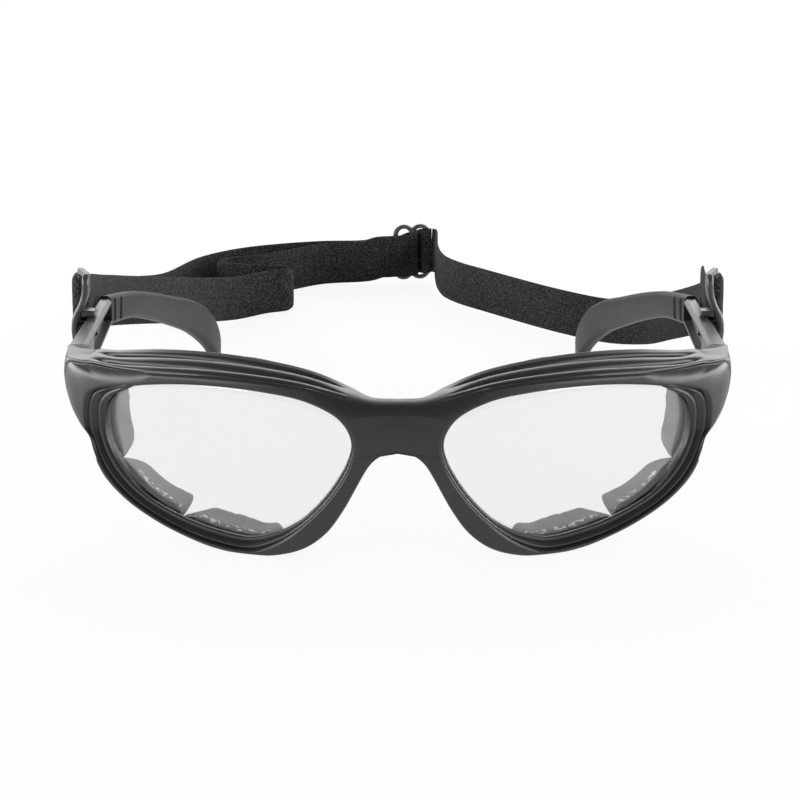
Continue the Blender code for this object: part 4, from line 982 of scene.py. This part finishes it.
STRAP_WIDTH = 12.4
STRAP_THICKNESS = 1.0
STRAP_STEP = 0.8
CLIP_Z = 37.6
TABLE_Z = 6.5
IN_SLIDER_Z = 8.0
INNER_X = 70.2035
OUTER_X = 73.4035
BAR_X = (INNER_X + OUTER_X) / 2
SLIDER_CENTRE = (4.1, 256.0)
SLIDER_HEADING = math.radians(12.0)
SEWN_END = (
    (-0.3, 1.3), (0.3, 1.3), (1.0, 1.2), (1.5, 0.6), (1.5, -0.6), (1.0, -1.25), (-0.4, -1.4),
    (-2.0, -1.75), (-3.6, -2.35), (-5.2, -2.65), (-7.5, -2.95), (-10.5, -3.1), (-14.0, -3.2, 7.2),
)
OUTER_STRAND = (
    (-23.0, 252.6, 6.6), (-35.0, 249.3, TABLE_Z), (-47.0, 242.8, TABLE_Z), (-57.5, 231.0, TABLE_Z),
    (-65.8, 208.0, 6.9), (-71.0, 180.0, 12.0), (-74.2, 150.0, 19.0), (-75.3, 122.0, 25.4),
    (-75.2, 98.0, 31.0), (-74.4, 80.0, 35.3),
)
CLIP_TURN = (
    (-OUTER_X - 0.2, 70.0, 37.4), (-OUTER_X, 65.2, CLIP_Z), (-OUTER_X + 0.4, 63.7, CLIP_Z),
    (-BAR_X, 62.9, CLIP_Z), (-INNER_X - 0.4, 63.7, CLIP_Z), (-INNER_X, 65.2, CLIP_Z), (-INNER_X, 70.0, 37.2),
)
INNER_STRAND = (
    (-70.6, 79.0, 35.2), (-70.7, 96.0, 31.2), (-69.5, 118.0, 26.1), (-66.0, 145.0, 19.8),
    (-59.5, 172.0, 13.4), (-52.0, 193.0, 8.6), (-45.0, 204.5, TABLE_Z), (-37.5, 211.5, TABLE_Z),
    (-31.8, 214.6, TABLE_Z), (-30.6, 216.6, TABLE_Z), (-32.6, 218.4, TABLE_Z), (-41.0, 219.8, TABLE_Z),
    (-49.0, 222.5, TABLE_Z), (-52.4, 226.0, TABLE_Z), (-50.0, 229.4, TABLE_Z), (-43.0, 232.4, TABLE_Z),
    (-33.0, 240.0, TABLE_Z), (-22.5, 248.6, 6.6),
)
THROUGH_SLIDER = (
    (-14.0, -1.6, 7.2), (-10.5, -1.6), (-7.5, -1.5), (-5.2, -1.4), (-3.9, -1.25), (-3.0, -0.35), (-2.1, 0.8),
    (-1.1, 2.1), (0.2, 2.6), (1.5, 2.3, 8.1), (2.4, 1.3, 8.4), (3.0, 0.0, 8.7), (3.6, -1.0, 9.0),
    (4.6, -1.45, 9.2), (5.6, -1.5, 9.2),
)
SLIDER_EXIT = ((5.6, -1.5, 9.2), (6.4, -1.75, 9.15))
LEFT_STRAND = (
    (11.3, 254.3, 8.9), (11.4, 252.0, 8.5), (11.4, 248.0, 7.7), (12.0, 240.0, 6.9),
    (13.7, 232.0, TABLE_Z), (18.0, 223.0, TABLE_Z), (24.0, 214.8, TABLE_Z), (45.0, 188.0, TABLE_Z),
    (57.0, 177.0, TABLE_Z), (65.5, 166.5, 8.8), (71.4, 147.0, 15.2), (74.6, 122.0, 22.8), (75.2, 98.0, 30.0),
    (74.5, 80.0, 35.2),
)
HEMMED_TAIL = ((INNER_X + 0.2, 75.0, 37.2), (INNER_X + 0.6, 80.0, 37.0))
STRAP_FOLDS = (
    ((-30.6, 216.6, TABLE_Z), 0.13, 1.7), ((-52.4, 226.0, TABLE_Z), 0.13, 1.7),
    ((8.6, 255.5, 9.2), -0.11, 4.0),
)
BAND_SQUARE = (0.35, 0.55)
BAND_POINTS = 28
KNIT_LOOPS = 1900
KNIT_HEIGHT = 0.0002
FLECK_SCALE = 1900
FLECKS = ((0.42, (0.009, 0.0088, 0.011, 1)), (0.72, (0.058, 0.057, 0.063, 1)))
STRAP_BACK_Y = 140.0
STRAP_FRONT_Y = 84.0


def by_slider(points):
    """Places of the strap at the slider, given along and behind its middle, and up where that differs."""
    turn_cos, turn_sin = math.cos(SLIDER_HEADING), math.sin(SLIDER_HEADING)
    found = []
    for along, behind, *height in points:
        x = SLIDER_CENTRE[0] + along * turn_cos - behind * turn_sin
        y = SLIDER_CENTRE[1] + along * turn_sin + behind * turn_cos
        found.append((x, y, height[0] if height else IN_SLIDER_Z))
    return found


def band_rings(line):
    """Flat rounded sections of the strap along a line, drawn in at its folds and spread at the slider."""
    section = []
    for turn in np.linspace(0, 2 * math.pi, BAND_POINTS, endpoint=False):
        wide = squared(turn, BAND_SQUARE[0])[0] * STRAP_WIDTH / 2
        section.append((wide, squared(turn, BAND_SQUARE[1])[1] * STRAP_THICKNESS / 2))
    rings = []
    for i, middle in enumerate(line):
        ahead = Vector(line[min(i + 1, len(line) - 1)] - line[max(i - 1, 0)]).normalized()
        up = (Vector((0, 0, 1)) - ahead * ahead.z).normalized()
        across = ahead.cross(up)
        drawn = 1.0
        for fold, amount, spread in STRAP_FOLDS:
            drawn -= amount * math.exp(-((np.linalg.norm(middle - np.array(fold)) / spread) ** 2))
        rings.append([np.array(Vector(middle) + up * w * drawn + across * t) for w, t in section])
    return rings


def knit():
    material = bpy.data.materials.new("black_elastic_knit")
    material.use_nodes = True
    tree = material.node_tree
    shader = tree.nodes["Principled BSDF"]
    shader.inputs["Roughness"].default_value = 0.85
    shader.inputs["Specular IOR Level"].default_value = 0.15
    place_node = tree.nodes.new("ShaderNodeTexCoord")
    loops = tree.nodes.new("ShaderNodeTexVoronoi")
    loops.inputs["Scale"].default_value = KNIT_LOOPS
    tree.links.new(place_node.outputs["Object"], loops.inputs["Vector"])
    flecks = tree.nodes.new("ShaderNodeTexNoise")
    flecks.inputs["Scale"].default_value = FLECK_SCALE
    flecks.inputs["Detail"].default_value = 4.0
    tree.links.new(place_node.outputs["Object"], flecks.inputs["Vector"])
    ramp = tree.nodes.new("ShaderNodeValToRGB")
    for element, (position, colour) in zip(ramp.color_ramp.elements, FLECKS):
        element.position = position
        element.color = colour
    tree.links.new(flecks.outputs["Fac"], ramp.inputs["Fac"])
    tree.links.new(ramp.outputs["Color"], shader.inputs["Base Color"])
    relief = tree.nodes.new("ShaderNodeBump")
    relief.inputs["Strength"].default_value = 0.5
    relief.inputs["Distance"].default_value = KNIT_HEIGHT
    tree.links.new(loops.outputs["Distance"], relief.inputs["Height"])
    tree.links.new(relief.outputs["Normal"], shader.inputs["Normal"])
    return material


ELASTIC = knit()


def in_frame(point):
    return tuple((np.array(point) + (0, BACK_Y, 0)) * MM)


def strap_part(name, line, body, start, end, *nodes_replaced):
    """One part of the strap: a band lofted along the line in the knitted elastic, with the pieces it replaces
    hidden.
    """
    strap = lofted(name, band_rings(line))
    strap.data.materials.append(ELASTIC)
    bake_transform(strap)
    if nodes_replaced:
        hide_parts(*nodes_replaced)


def nearest(line, point):
    return int(np.argmin(np.linalg.norm(line - np.array(point), axis=1)))


right_loop = OUTER_STRAND + CLIP_TURN + INNER_STRAND
right_line = even_spline(by_slider(SEWN_END) + list(right_loop[::-1]) + by_slider(THROUGH_SLIDER), STRAP_STEP)
left_turn = [(-x, y, z) for x, y, z in CLIP_TURN]
left_line = even_spline(
    by_slider(SLIDER_EXIT) + list(LEFT_STRAND) + left_turn + list(HEMMED_TAIL), STRAP_STEP
)
slider_place = (*SLIDER_CENTRE, IN_SLIDER_Z)
outer_cut = nearest(right_line, OUTER_STRAND[6])
inner_cut = nearest(right_line, INNER_STRAND[3])
left_cut = nearest(left_line, LEFT_STRAND[10])
strap_part(
    "strap_sewn_strand", right_line[: inner_cut + 1], "slider", (-40.0, 234.0, TABLE_Z), slider_place,
    "right_strap_loop",
)
strap_part(
    "strap_right_turn", right_line[inner_cut : outer_cut + 1], "right_temple",
    (-70.0, STRAP_BACK_Y, 20.0), (-72.0, STRAP_FRONT_Y, 34.0),
)
strap_part(
    "strap_through_strand", right_line[outer_cut:], "slider", (-50.0, 238.0, TABLE_Z), slider_place,
)
strap_part(
    "strap_left_strand", left_line[: left_cut + 1], "slider", (24.0, 215.0, TABLE_Z), slider_place,
    "left_strap_strand",
)
strap_part(
    "strap_left_turn", left_line[left_cut:], "left_temple",
    (71.0, STRAP_BACK_Y, 16.0), (73.0, STRAP_FRONT_Y, 34.0),
)


# Slider: a flat frame of grey-black acetal, moulded with two long slots that are round at their ends. The
# strap's sewn end holds it by the middle bar, and the other strand slides through it.

SLIDER_SIZE = (11.6, 16.9, 1.4)
SLIDER_BAR = 1.5
SLIDER_RAIL = 1.2
SLIDER_ROUND = 0.45
SLIDER_BASE = 0.3
SLIDER_DIP = 0.12
SLIDER_ARCH_STEPS = 17
SLIDER_WELD = 0.002
SLIDER_SHARP_ANGLE = 60


def arched_frame():
    """The frame's outline and its two slots, in the slider's own plane: pairs along it and up."""
    half, tall = SLIDER_SIZE[0] / 2, SLIDER_SIZE[1] / 2
    middle = (half - SLIDER_BAR / 2) / 2
    reach_out = half - middle
    slot_half = middle - SLIDER_BAR / 2
    turns = np.linspace(0, math.pi, SLIDER_ARCH_STEPS)
    top = [(middle + reach_out * math.cos(t), tall - reach_out + reach_out * math.sin(t)) for t in turns]
    top = [(x, z) for x, z in top if x > SLIDER_DIP]
    quarter = top + [(-x, z) for x, z in reversed(top)]
    outline = quarter + [(x, -z) for x, z in reversed(quarter)]
    rise = tall - SLIDER_RAIL - slot_half
    arch = [(slot_half * math.cos(t), rise + slot_half * math.sin(t)) for t in turns]
    slot = arch + [(x, -z) for x, z in reversed(arch)]
    return [outline, [(x - middle, z) for x, z in slot], [(x + middle, z) for x, z in slot]]


def make_slider():
    curve = bpy.data.curves.new("slider_outline", "CURVE")
    curve.dimensions = "2D"
    curve.fill_mode = "BOTH"
    curve.extrude = SLIDER_SIZE[2] / 2 - SLIDER_ROUND
    curve.bevel_depth = SLIDER_ROUND
    curve.bevel_resolution = 3
    curve.offset = -SLIDER_ROUND
    for loop in arched_frame():
        line = curve.splines.new("POLY")
        line.use_cyclic_u = True
        line.points.add(len(loop) - 1)
        for point, (along, up) in zip(line.points, loop):
            point.co = (along, up, 0, 1)
    drawn = bpy.data.objects.new("slider_outline", curve)
    bm = bmesh.new()
    bm.from_mesh(drawn.to_mesh())
    drawn.to_mesh_clear()
    bpy.data.objects.remove(drawn)
    bmesh.ops.remove_doubles(bm, verts=bm.verts, dist=SLIDER_WELD)
    for vert in bm.verts:
        along, up, behind = vert.co
        x, y, _ = by_slider([(along, behind)])[0]
        vert.co = in_frame((x, y, up + SLIDER_SIZE[1] / 2 + SLIDER_BASE))
    slider = piece("two_slot_slider", bm, SLIDER_SHARP_ANGLE)
    slider.data.materials.append(CLIP_GREY)
    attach(slider, "slider")
    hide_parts("strap_slider")


make_slider()
